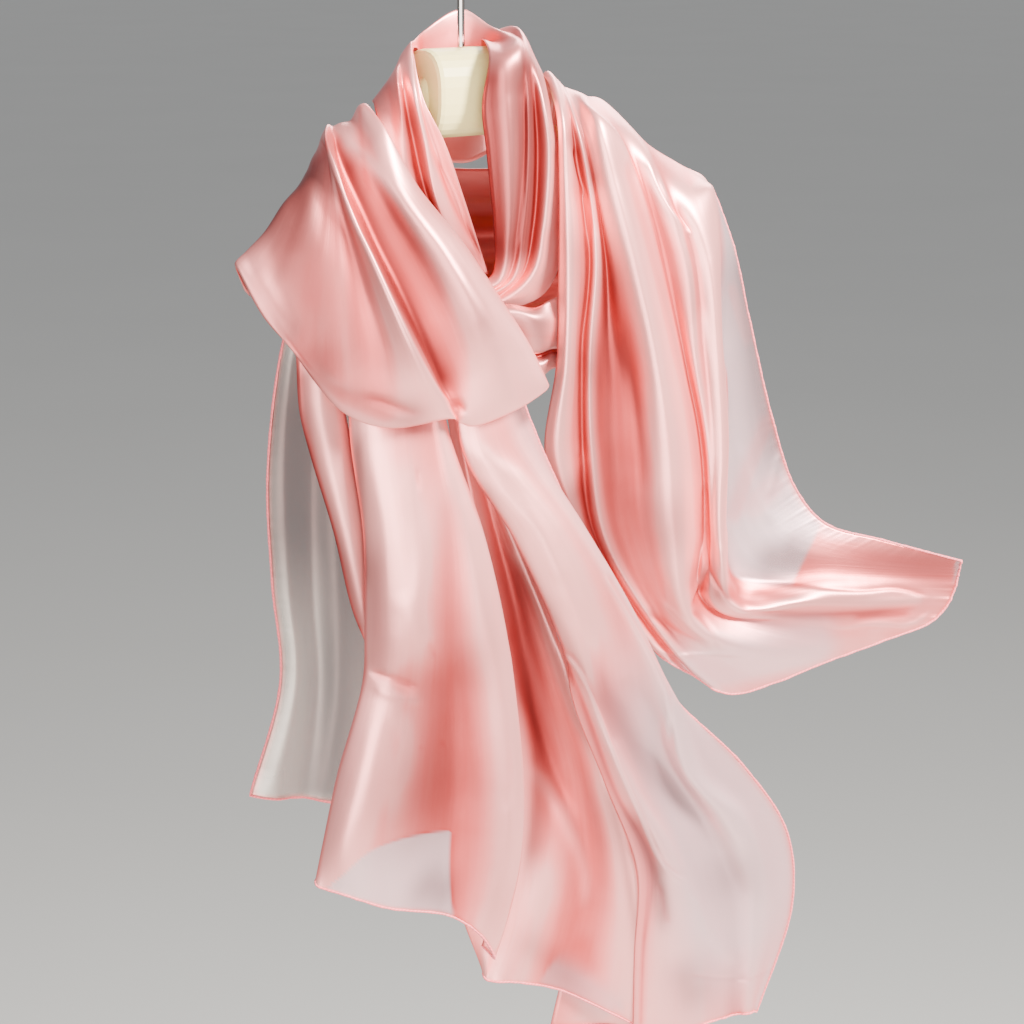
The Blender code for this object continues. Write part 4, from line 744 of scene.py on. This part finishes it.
def nearness(grid, path, widths, fade):
    """Share of a stroke at each point, and the point's distance from the path, below zero at its left side.

    The share is 1 on the path, seen from the front, and falls to 0 over the widths at its two sides.
    """
    spots = grid[..., (0, 2)].reshape(-1, 2)
    best = np.full(len(spots), np.inf)
    side = np.zeros(len(spots))
    place = np.zeros(len(spots))
    run = np.concatenate([[0.0], np.cumsum(np.linalg.norm(np.diff(path, axis=0), axis=1))])
    for k, (a, b) in enumerate(zip(path, path[1:])):
        ab = b - a
        t = np.clip(((spots - a) @ ab) / (ab @ ab + 1e-9), 0, 1)
        away = spots - a - t[:, None] * ab
        distance = np.hypot(away[:, 0], away[:, 1])
        nearer = distance < best
        best[nearer] = distance[nearer]
        side[nearer] = (ab[0] * away[:, 1] - ab[1] * away[:, 0])[nearer]
        place[nearer] = (run[k] + t * (run[k + 1] - run[k]))[nearer]
    width = np.where(side < 0, widths[0], widths[1])
    ends = np.clip(np.minimum(place, run[-1] - place) / max(fade, 1e-3), 0, 1)
    ends = ends * ends * (3 - 2 * ends)
    share = np.exp(-((best / width) ** 2)) * ends
    return share.reshape(grid.shape[:2]), (np.sign(side) * best).reshape(grid.shape[:2])


def beyond(grid, name, path):
    """Distance of each point of a sheet past a path, to its right side."""
    return nearness(grid, path_of(name, path), (1.0, 1.0), 0.0)[1]


def places(table, grid, name):
    """Share and strength of each soft place that a table gives for a sheet."""
    for path, left, right, strength, fade in table.get(name, ()):
        yield nearness(grid, path_of(name, path), (left, right), fade)[0], strength


def border_of(grid, side):
    """Points of a sheet along one of its borders."""
    return {"first fold": grid[0], "last fold": grid[-1], "lower end": grid[:, -1]}[side]


def distance_in(grid, side, step):
    """Distance of each point of a sheet from one of its borders, and its place along that border."""
    rows, columns = grid.shape[:2]
    i, j = np.meshgrid(np.arange(rows), np.arange(columns), indexing="ij")
    if side == "lower end":
        return (columns - 1 - j) * step, i * step
    return (i if side == "first fold" else rows - 1 - i) * step, j * step


def waves(place, seed):
    """Uneven waves along a hem, between about -1 and 1."""
    rng = np.random.default_rng(seed)
    made = 0.0
    for length in HEM_WAVES:
        phase, drift = rng.uniform(0, 2 * math.pi, 2)
        wander = HEM_DRIFT * np.sin(place / HEM_DRIFT_LENGTH + drift)
        made = made + np.sin(2 * math.pi * place / length + phase + wander)
    return made / FULL_WAVE


def ripples(grid, seed):
    """Slight unevenness of hanging cloth, longer along the height than across."""
    rng = np.random.default_rng(seed)
    x, y, z = np.moveaxis(grid, 2, 0)
    made = np.zeros_like(x)
    for length, share in RIPPLES:
        for _ in range(RIPPLES_OF_EACH):
            turn = rng.uniform(-0.5, 0.5)
            wave = 2 * math.pi / (length * rng.uniform(0.8, 1.2))
            across = x * math.cos(turn) + z * math.sin(turn) * RIPPLE_RISE + y * RIPPLE_DEPTH
            wander = RIPPLE_DRIFT * np.sin(z / RIPPLE_DRIFT_HEIGHT + turn)
            made += share * np.sin(across * wave + rng.uniform(0, 6.28) + wander)
    return made / RIPPLES_OF_EACH


def sheer_share(name, grid, sheer):
    """Share of a single sheer layer at each point of a sheet, from the share that its folds give."""
    if name in SINGLE_BEYOND:
        edge = np.clip(beyond(grid, name, SINGLE_BEYOND[name]) / SINGLE_EDGE + 0.5, 0, 1)
        sheer = np.clip(SHEER_GAIN * sheer, 0, 1) * edge
    if name in SHORT_BACK_LAYER:
        *paths, single = SHORT_BACK_LAYER[name]
        for path in paths:
            single = single * np.clip(0.5 - beyond(grid, name, path) / SHORT_EDGE, 0, 1)
        sheer = np.maximum(sheer, single)
    for share, strength in places(THIN_PLACES, grid, name):
        sheer = np.maximum(sheer, strength * np.clip(THIN_GAIN * share, 0, 1))
    for share, strength in places(DOUBLED_PLACES, grid, name):
        sheer = sheer * (1 - strength * np.clip(DOUBLED_GAIN * share, 0, 1))
    return sheer


def make_sheet(name, seed):
    """Builds one sheet of satin with its creases, tones of painted light and shade, thread directions and
    wall.
    """
    sizes = bpy.context.scene.hijab_sizes
    step = sizes.mesh_step / MM
    grid = sheet_grid(name, step)
    sheer = np.clip(grid[..., 3], 0, 1)
    grid = grid[..., :3]
    out = normals_of(grid)
    contrast = CALM if name in CALM_SHEETS else 1.0
    # Painted light and shade from the shape: crests are painted paler and hollows deeper.
    tone = FLAT_TONE - contrast * sum(
        share * np.tanh(((grid - softened(grid, round(reach / step))) * out).sum(axis=2) / full)
        for reach, full, share in RISES)
    lift = RIPPLE_HEIGHT * ripples(grid, seed)
    # Strokes paint shade into their creases and highlight on their crests, besides lifting the cloth.
    for along, widths, relief, tones, fade, sharp in STROKES.get(name, ()):
        share, side = nearness(grid, path_of(name, along), widths, fade)
        turn = np.tanh(side / LIP_DROP)
        lift -= share * relief * (turn if sharp else -1.0)
        tone += share * (0.5 * (tones[0] + tones[1]) + 0.5 * (tones[1] - tones[0]) * turn)
    shade = np.zeros_like(tone)
    # A wrap that goes all the way round is shaded on its front half alone.
    middle = 0.5 * (grid[..., 1].min() + grid[..., 1].max())
    front = 1 / (1 + np.exp((grid[..., 1] - middle) / BACK_FADE)) if name == "neck_wrap" else 1.0
    # Painted shade from the broad shades, and painted highlight from those below zero.
    for near, depth in places(SHADES, grid, name):
        share = front * near
        if depth > 0:
            shade = 1 - (1 - shade) * (1 - min(SHADE_GAIN * depth, DEEPEST_SHADE) * share)
        else:
            shade = shade * (1 + LIT_GAIN * depth * share)
            tone = tone + depth * share
    sheer = sheer_share(name, grid, sheer)
    for side in HEMS.get(name, ()):
        inward, place = distance_in(grid, side, step)
        strength = 1.0 if side == "lower end" else SIDE_PUCKER
        lift += waves(place, seed + len(side)) * np.exp(-inward / PUCKER_REACH) * strength * sizes.pucker / MM
        tone += SEAM_TONE * np.exp(-((inward / SEAM_REACH) ** 2))
        sheer = sheer * (1 - TURNED * np.exp(-((inward / TURNED_REACH) ** 2)))
    grid = grid + out * (lift * sizes.relief)[..., None]
    made = mesh_of_grid(name + "_satin", grid * MM, {"tone": tone, "shade": shade, "sheer": sheer})
    wall = made.modifiers.new("wall", "SOLIDIFY")
    wall.thickness = sizes.cloth_thickness
    wall.offset = 0.0
    wall.use_even_offset = False
    bpy.context.view_layer.objects.active = made
    bpy.ops.object.modifier_apply(modifier=wall.name)
    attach(made, "root")
    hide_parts(name)
    return made, grid


def link_new(name, data):
    """New object of a mesh, a light or a camera, in the scene."""
    made = bpy.data.objects.new(name, data)
    bpy.context.collection.objects.link(made)
    return made


def mesh_of_grid(name, grid, shares):
    """Mesh object of a grid of points in metres, with its named shares and its thread map."""
    rows, columns = grid.shape[:2]
    i, j = np.meshgrid(np.arange(rows - 1), np.arange(columns - 1), indexing="ij")
    first = (i * columns + j).ravel()
    faces = np.stack([first, first + columns, first + columns + 1, first + 1], axis=1)
    mesh = bpy.data.meshes.new(name)
    mesh.from_pydata(grid.reshape(-1, 3), [], faces.tolist())
    for label, values in shares.items():
        held = mesh.attributes.new(label, "FLOAT", "POINT")
        held.data.foreach_set("value", np.clip(values, 0, 1).astype(np.float32).ravel())
    u, v = (np.concatenate([[0.0], np.cumsum(mean_gaps(grid, axis))]) for axis in (0, 1))
    spots = np.stack(np.meshgrid(u, v, indexing="ij"), axis=-1).reshape(-1, 2)
    threads = mesh.uv_layers.new(name="threads")
    threads.data.foreach_set("uv", spots[faces.ravel()].astype(np.float32).ravel())
    mesh.polygons.foreach_set("use_smooth", [True] * len(mesh.polygons))
    return link_new(name, mesh)


def make_hem(name, grid, sides, seed):
    """Rolled hem along the named borders of a sheet: a thin tube, a little uneven."""
    radius = bpy.context.scene.hijab_sizes.hem_radius
    path, *lower = [border_of(grid, side) * MM for side in sides]
    for end in lower:
        path = np.concatenate([path, end if sides[0] == "first fold" else end[::-1]])
    keep = np.concatenate([[True], np.linalg.norm(np.diff(path, axis=0), axis=1) > HEM_STEP])
    path = path[keep]
    run = np.concatenate([[0.0], np.cumsum(np.linalg.norm(np.diff(path, axis=0), axis=1))])
    ahead = np.gradient(path, axis=0)
    ahead /= np.linalg.norm(ahead, axis=1, keepdims=True) + 1e-12
    first = np.cross(ahead, (0.0, 1.0, 0.0))
    first /= np.linalg.norm(first, axis=1, keepdims=True) + 1e-12
    second = np.cross(ahead, first)
    size = radius * (1 + HEM_UNEVEN * waves(run / MM, seed))
    size[[0, -1]] *= HEM_END
    turns = np.arange(HEM_CORNERS) * 2 * math.pi / HEM_CORNERS
    rings = (path[:, None] + size[:, None, None] * (
        first[:, None] * np.cos(turns)[None, :, None] + second[:, None] * np.sin(turns)[None, :, None]))
    bm = bmesh.new()
    threads = bm.loops.layers.uv.new("threads")
    rows = [[bm.verts.new(p) for p in ring] for ring in rings]
    for k, (near, far) in enumerate(zip(rows, rows[1:])):
        for c in range(HEM_CORNERS):
            d = (c + 1) % HEM_CORNERS
            face = bm.faces.new((near[c], near[d], far[d], far[c]))
            face.smooth = True
            for loop, (u, v) in zip(face.loops, ((c, k), (c + 1, k), (c + 1, k + 1), (c, k + 1))):
                loop[threads].uv = (u / HEM_CORNERS * HEM_STITCH, run[v])
    bm.faces.new(rows[0][::-1])
    bm.faces.new(rows[-1])
    bmesh.ops.recalc_face_normals(bm, faces=bm.faces)
    mesh = bpy.data.meshes.new(name + "_hem")
    bm.to_mesh(mesh)
    bm.free()
    made = link_new(name + "_hem", mesh)
    mesh.materials.append(hem_material())
    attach(made, "root")
    return made


# ---------------------------------------------------------------- materials

def set_inputs(tree, node, inputs):
    """Links each named input of a node to a socket, or sets it to a value."""
    for label, value in inputs.items():
        if isinstance(value, bpy.types.NodeSocket):
            tree.links.new(value, node.inputs[label])
        else:
            node.inputs[label].default_value = value


def add_node(tree, kind, inputs=(), **settings):
    """New shader node with its settings made and its inputs linked or set."""
    node = tree.nodes.new("ShaderNode" + kind)
    for label, value in settings.items():
        setattr(node, label, value)
    set_inputs(tree, node, dict(inputs))
    return node


def math_node(tree, operation, a, b):
    """Result of a math node on two inputs, each linked or set."""
    return add_node(tree, "Math", {0: a, 1: b}, operation=operation).outputs[0]


def varied(tree, pattern, least, spread):
    """Amount that a pattern raises from its least by a spread."""
    return math_node(tree, "ADD", math_node(tree, "MULTIPLY", pattern, spread), least)


def swing(tree, pattern, spread):
    """Amount that a pattern moves up and down from nothing, over a spread."""
    return math_node(tree, "MULTIPLY", math_node(tree, "SUBTRACT", pattern, 0.5), spread)


def attribute_of(tree, name):
    """Share held on the points of a sheet under a name."""
    return add_node(tree, "Attribute", attribute_name=name).outputs["Fac"]


def mixed(tree, amount, first, second, **settings):
    """Colour between two colours, or another blend of them."""
    return add_node(tree, "Mix", {0: amount, 6: first, 7: second}, data_type="RGBA", **settings).outputs[2]


def cloud(tree, place, scale, **inputs):
    """Amount of a noise pattern over a place."""
    return add_node(tree, "TexNoise", {"Vector": place, "Scale": scale, **inputs}).outputs["Fac"]


def stretched(tree, place, scale, turn=0.0):
    """Place stretched by a scale for each axis and turned in its plane."""
    inputs = {"Vector": place, "Scale": scale, "Rotation": (0.0, 0.0, turn)}
    return add_node(tree, "Mapping", inputs).outputs[0]


def ramp_node(tree, amount, stops):
    """Colour ramp over an amount, through stops of a position and a colour."""
    ramp = add_node(tree, "ValToRGB", {"Fac": amount})
    elements = ramp.color_ramp.elements
    while len(elements) < len(stops):
        elements.new(0.5)
    for element, (position, colour) in zip(elements, stops):
        element.position = position
        element.color = (*colour, 1.0)
    return ramp


def two_tones(tree, amount, colour, share):
    """Colour over an amount, from a darker share of the colour up to all of it."""
    return ramp_node(tree, amount, ((0.0, [share * c for c in colour]), (1.0, colour))).outputs["Color"]


def bumped(tree, height, strength, distance):
    """Normal of a surface with a height pattern."""
    inputs = {"Height": height, "Strength": strength, "Distance": distance}
    return add_node(tree, "Bump", inputs).outputs["Normal"]


def new_material(name):
    """New material with its node tree and its shader."""
    made = bpy.data.materials.new(name)
    made.use_nodes = True
    return made, made.node_tree, made.node_tree.nodes["Principled BSDF"]


def satin_weave():
    """Group: long floats of the weave, soft streaks along them and fine wrinkles.

    Threads is a thread map in metres, and Place is where the point lies.
    """
    old = bpy.data.node_groups.get("satin weave")
    if old:
        return old
    group = bpy.data.node_groups.new("satin weave", "ShaderNodeTree")
    for label, kind in (("Threads", "Vector"), ("Place", "Vector"), ("Streak size", "Float")):
        socket = group.interface.new_socket(label, in_out="INPUT", socket_type="NodeSocket" + kind)
        if kind == "Float":
            socket.default_value = 1.0
    for label in ("Weave", "Streaks", "Wrinkles"):
        group.interface.new_socket(label, in_out="OUTPUT", socket_type="NodeSocketFloat")
    enter, leave = group.nodes.new("NodeGroupInput"), group.nodes.new("NodeGroupOutput")
    in_millimetres = {0: enter.outputs["Threads"], 1: (1 / MM, 1 / MM, 1.0)}
    threads = add_node(group, "VectorMath", in_millimetres, operation="MULTIPLY").outputs[0]
    floats = stretched(group, threads, (3.2, 0.5, 1.0))
    streaks = stretched(group, threads, (0.22, 0.012, 1.0))
    set_inputs(group, leave, {
        "Weave": cloud(group, floats, 1.0, Detail=1.0),
        "Streaks": cloud(group, streaks, enter.outputs["Streak size"], Detail=2.0),
        "Wrinkles": cloud(group, enter.outputs["Place"], 55.0, Detail=3.0, Roughness=0.42),
    })
    return group


def satin_material(name="pink_satin", sheer_colour=None, veil=0.52):
    """Satin: its colour follows the tone of the folds, which paints highlight on crests and shade in hollows
    and shaded places, and it thins to a sheer layer where it lies single.

    veil is the share of light that passes straight through a single layer.
    """
    old = bpy.data.materials.get(name)
    if old:
        return old
    colours = bpy.context.scene.hijab_colours
    made, tree, shader = new_material(name)
    weave = add_node(tree, "Group", node_tree=satin_weave())
    set_inputs(tree, weave, {
        "Threads": add_node(tree, "UVMap", uv_map="threads").outputs[0],
        "Place": add_node(tree, "TexCoord").outputs["Object"],
    })
    floats, streaks, wrinkles = (weave.outputs[label] for label in ("Weave", "Streaks", "Wrinkles"))
    sheer = attribute_of(tree, "sheer")
    # The streaks and wrinkles shift the painted tone: a painted sheen along the floats and painted shading of
    # the wrinkles. The ramp paints highlight on crests and shade in troughs and recesses.
    tone = math_node(tree, "ADD", attribute_of(tree, "tone"), swing(tree, streaks, spread=0.22))
    ramp = ramp_node(tree, math_node(tree, "ADD", tone, swing(tree, wrinkles, spread=0.10)), (
        (0.0, colours.gleam), (0.2, colours.crest), (0.45, colours.middle), (0.72, colours.trough),
        (1.0, colours.recess)))
    ramp.color_ramp.interpolation = "B_SPLINE"
    thinned = mixed(
        tree, math_node(tree, "MULTIPLY", sheer, SHEER_TINT),
        ramp.outputs["Color"], (*(sheer_colour or colours.sheer), 1.0))
    creases = math_node(tree, "ADD", math_node(tree, "MULTIPLY", streaks, STREAK_HEIGHT), wrinkles)
    height = math_node(tree, "ADD", math_node(tree, "MULTIPLY", floats, FLOAT_HEIGHT), creases)
    set_inputs(tree, shader, {
        # Painted shade: the shade share multiplies the colour down towards the shade colour.
        "Base Color": mixed(
            tree, attribute_of(tree, "shade"), thinned, (*colours.shade, 1.0), blend_type="MULTIPLY"),
        "Roughness": varied(tree, streaks, least=0.33, spread=0.10),
        "Normal": bumped(tree, height, strength=0.35, distance=0.0006),
        "Alpha": math_node(tree, "SUBTRACT", 1.0, math_node(tree, "MULTIPLY", sheer, veil)),
        "Metallic": 0.7,
        "Specular IOR Level": 0.12,
        "Sheen Weight": 0.02,
        "Sheen Roughness": 0.35,
        "Sheen Tint": (1.0, 0.86, 0.85, 1.0),
    })
    return made


def hem_material():
    """Rolled hem: the satin turned over three times, with small slanting stitches."""
    old = bpy.data.materials.get("rolled_hem")
    if old:
        return old
    made, tree, shader = new_material("rolled_hem")
    threads = add_node(tree, "UVMap", uv_map="threads").outputs[0]
    slanted = stretched(tree, threads, (220.0, 220.0, 1.0), turn=0.6)
    bands = {"Vector": slanted, "Scale": 0.55, "Distortion": 1.2}
    stitches = add_node(tree, "TexWave", bands, bands_direction="Y").outputs["Fac"]
    set_inputs(tree, shader, {
        "Base Color": two_tones(tree, stitches, bpy.context.scene.hijab_colours.hem, share=0.75),
        "Normal": bumped(tree, stitches, strength=0.5, distance=0.0002),
        "Roughness": 0.5,
        "Sheen Weight": 0.3,
    })
    return made


def hanger_plastic():
    """Ivory moulded plastic: glossy, faintly mottled, with slight rubbing."""
    made, tree, shader = new_material("hanger_plastic")
    place = add_node(tree, "TexCoord").outputs["Object"]
    mottle = cloud(tree, place, 38.0, Detail=3.0)
    rub = cloud(tree, place, 160.0, Detail=4.0)
    set_inputs(tree, shader, {
        "Base Color": two_tones(tree, mottle, bpy.context.scene.hijab_hanger.ivory, share=0.9),
        "Roughness": varied(tree, rub, least=0.34, spread=0.14),
        "Normal": bumped(tree, mottle, strength=0.12, distance=0.0004),
        "Coat Weight": 0.08,
        "Coat Roughness": 0.3,
        "Specular IOR Level": 0.25,
    })
    return made


def hook_metal():
    """Polished steel wire with fine drawing lines."""
    made, tree, shader = new_material("hook_metal")
    place = add_node(tree, "TexCoord").outputs["Object"]
    lines = cloud(tree, stretched(tree, place, (900.0, 900.0, 30.0)), 1.0)
    set_inputs(tree, shader, {
        "Base Color": two_tones(tree, lines, bpy.context.scene.hijab_hanger.steel, share=0.8),
        "Roughness": varied(tree, lines, least=0.12, spread=0.12),
        "Metallic": 1.0,
    })
    return made


def floor_paint(colour):
    """Matt paint, very faintly uneven."""
    made, tree, shader = new_material("floor_paint")
    mottle = cloud(tree, add_node(tree, "TexCoord").outputs["Object"], 0.8, Detail=4.0)
    set_inputs(tree, shader, {"Base Color": two_tones(tree, mottle, colour, share=0.94), "Roughness": 0.9})
    return made


# ---------------------------------------------------------------- operators

def deselect_all():
    """Clears the selection, which holds the model's nodes after loading."""
    for picked in list(bpy.context.selected_objects):
        picked.select_set(False)


def dress(name, seed):
    """Makes a sheet, gives it its satin, and makes its hem if it shows one."""
    deselect_all()
    sheet, grid = make_sheet(name, seed)
    # The back tail takes a painted-shade copy of the satin, with the darker, greyer veil colour.
    if name == "back_tail":
        satin = satin_material("grey_veil", bpy.context.scene.hijab_colours.veil, veil=0.62)
    else:
        satin = satin_material()
    sheet.data.materials.append(satin)
    hems = [make_hem(name, grid, HEMS[name], seed)] if name in HEMS else []
    return {"FINISHED"}


class HIJAB_OT_neck_wrap(bpy.types.Operator):
    """Make the pleated stretch round the hanger's neck"""
    bl_idname = "hijab.neck_wrap"
    bl_label = "Neck wrap"

    def execute(self, context):
        return dress("neck_wrap", 11)


class HIJAB_OT_crossing(bpy.types.Operator):
    """Make the roll below the throat"""
    bl_idname = "hijab.crossing"
    bl_label = "Crossing roll"

    def execute(self, context):
        return dress("crossing", 12)


class HIJAB_OT_cowl(bpy.types.Operator):
    """Make the broad cowl from the left shoulder"""
    bl_idname = "hijab.cowl"
    bl_label = "Cowl"

    def execute(self, context):
        return dress("cowl", 13)


class HIJAB_OT_front_tail(bpy.types.Operator):
    """Make the three panels of the hanging front end with their hems"""
    bl_idname = "hijab.front_tail"
    bl_label = "Front tail"

    def execute(self, context):
        dress("front_tail_left", 14)
        dress("front_tail_middle", 15)
        return dress("front_tail_right", 16)


class HIJAB_OT_side_pleat(bpy.types.Operator):
    """Make the narrow pleat beside the front tail"""
    bl_idname = "hijab.side_pleat"
    bl_label = "Side pleat"

    def execute(self, context):
        return dress("side_pleat", 17)


class HIJAB_OT_back_tail(bpy.types.Operator):
    """Make the thin single layer that hangs behind"""
    bl_idname = "hijab.back_tail"
    bl_label = "Back tail"

    def execute(self, context):
        return dress("back_tail", 18)


class HIJAB_OT_right_panel(bpy.types.Operator):
    """Make the wide fall over the right shoulder with its flung end"""
    bl_idname = "hijab.right_panel"
    bl_label = "Right panel"

    def execute(self, context):
        return dress("right_panel", 19)


class HIJAB_OT_back_drape(bpy.types.Operator):
    """Make the stretch that sags across the back"""
    bl_idname = "hijab.back_drape"
    bl_label = "Back drape"

    def execute(self, context):
        return dress("back_drape", 20)


class HIJAB_OT_hanger(bpy.types.Operator):
    """Give the hanger and its hook their finishes"""
    bl_idname = "hijab.hanger"
    bl_label = "Hanger"

    def execute(self, context):
        for node, material in (("hanger_body", hanger_plastic()), ("hanger_hook", hook_metal())):
            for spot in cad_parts[node].material_slots:
                spot.material = material
        return {"FINISHED"}


def area_light(name, place, size, power, colour):
    """Square soft light that looks at the middle of the scarf."""
    data = bpy.data.lights.new(name, "AREA")
    data.size = size
    data.energy = power
    data.color = colour
    made = link_new(name, data)
    made.location = place
    made.rotation_euler = (Vector(SCARF_MIDDLE) - Vector(place)).to_track_quat("-Z", "Y").to_euler()


class HIJAB_OT_studio(bpy.types.Operator):
    """Set the pale floor, the soft lights and the camera"""
    bl_idname = "hijab.studio"
    bl_label = "Studio"

    def execute(self, context):
        studio = context.scene.hijab_studio
        deselect_all()
        bpy.ops.mesh.primitive_plane_add(size=FLOOR_SIZE, location=(0.0, 0.0, studio.floor_height))
        floor = context.active_object
        floor.name = "studio_floor"
        floor.data.materials.append(floor_paint(studio.floor))
        for name, (place, size, colour) in LIGHTS.items():
            area_light(name, place, size, getattr(studio, name + "_power"), colour)
        surround = bpy.data.worlds.new("surround")
        surround.use_nodes = True
        tree = surround.node_tree
        set_inputs(tree, tree.nodes["Background"], {"Color": SURROUND_COLOUR, "Strength": studio.sky})
        context.scene.world = surround
        data = bpy.data.cameras.new("camera")
        data.sensor_width = CAMERA_SENSOR
        data.lens = CAMERA_LENS
        camera = link_new("camera", data)
        camera.location = CAMERA_PLACE
        camera.rotation_euler = (math.radians(CAMERA_TILT), 0.0, 0.0)
        context.scene.camera = camera
        return {"FINISHED"}


class HIJAB_PT_pieces(bpy.types.Panel):
    """Lists the scarf's pieces and their settings"""
    bl_idname = "HIJAB_PT_pieces"
    bl_label = "Hijab"
    bl_space_type = "VIEW_3D"
    bl_region_type = "UI"
    bl_category = "Hijab"

    def draw(self, context):
        for label, _ in SETTINGS:
            box = self.layout.box()
            group = getattr(context.scene, label)
            for setting in group.__annotations__:
                box.prop(group, setting)
        for operator in OPERATORS:
            self.layout.operator(operator.bl_idname)


SETTINGS = (
    ("hijab_sizes", ScarfSizes), ("hijab_colours", ScarfColours),
    ("hijab_hanger", HangerLook), ("hijab_studio", StudioSet),
)
# In the order in which the pieces are made.
OPERATORS = (
    HIJAB_OT_studio, HIJAB_OT_hanger, HIJAB_OT_neck_wrap, HIJAB_OT_crossing, HIJAB_OT_cowl,
    HIJAB_OT_right_panel, HIJAB_OT_front_tail, HIJAB_OT_side_pleat, HIJAB_OT_back_drape, HIJAB_OT_back_tail,
)


def register():
    """Registers the settings, the operators and the panel."""
    for label, group in SETTINGS:
        bpy.utils.register_class(group)
        setattr(bpy.types.Scene, label, PointerProperty(type=group))
    for item in (*OPERATORS, HIJAB_PT_pieces):
        bpy.utils.register_class(item)


def unregister():
    """Takes them away again."""
    for item in reversed((*OPERATORS, HIJAB_PT_pieces)):
        bpy.utils.unregister_class(item)
    for label, group in reversed(SETTINGS):
        delattr(bpy.types.Scene, label)
        bpy.utils.unregister_class(group)


def main():
    """Makes the whole scene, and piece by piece."""
    register()
    bpy.ops.hijab.studio()
    bpy.ops.hijab.hanger()
    bpy.ops.hijab.neck_wrap()
    bpy.ops.hijab.crossing()
    bpy.ops.hijab.cowl()
    bpy.ops.hijab.right_panel()
    bpy.ops.hijab.front_tail()
    bpy.ops.hijab.side_pleat()
    bpy.ops.hijab.back_drape()
    bpy.ops.hijab.back_tail()


if __name__ == "__main__":
    main()
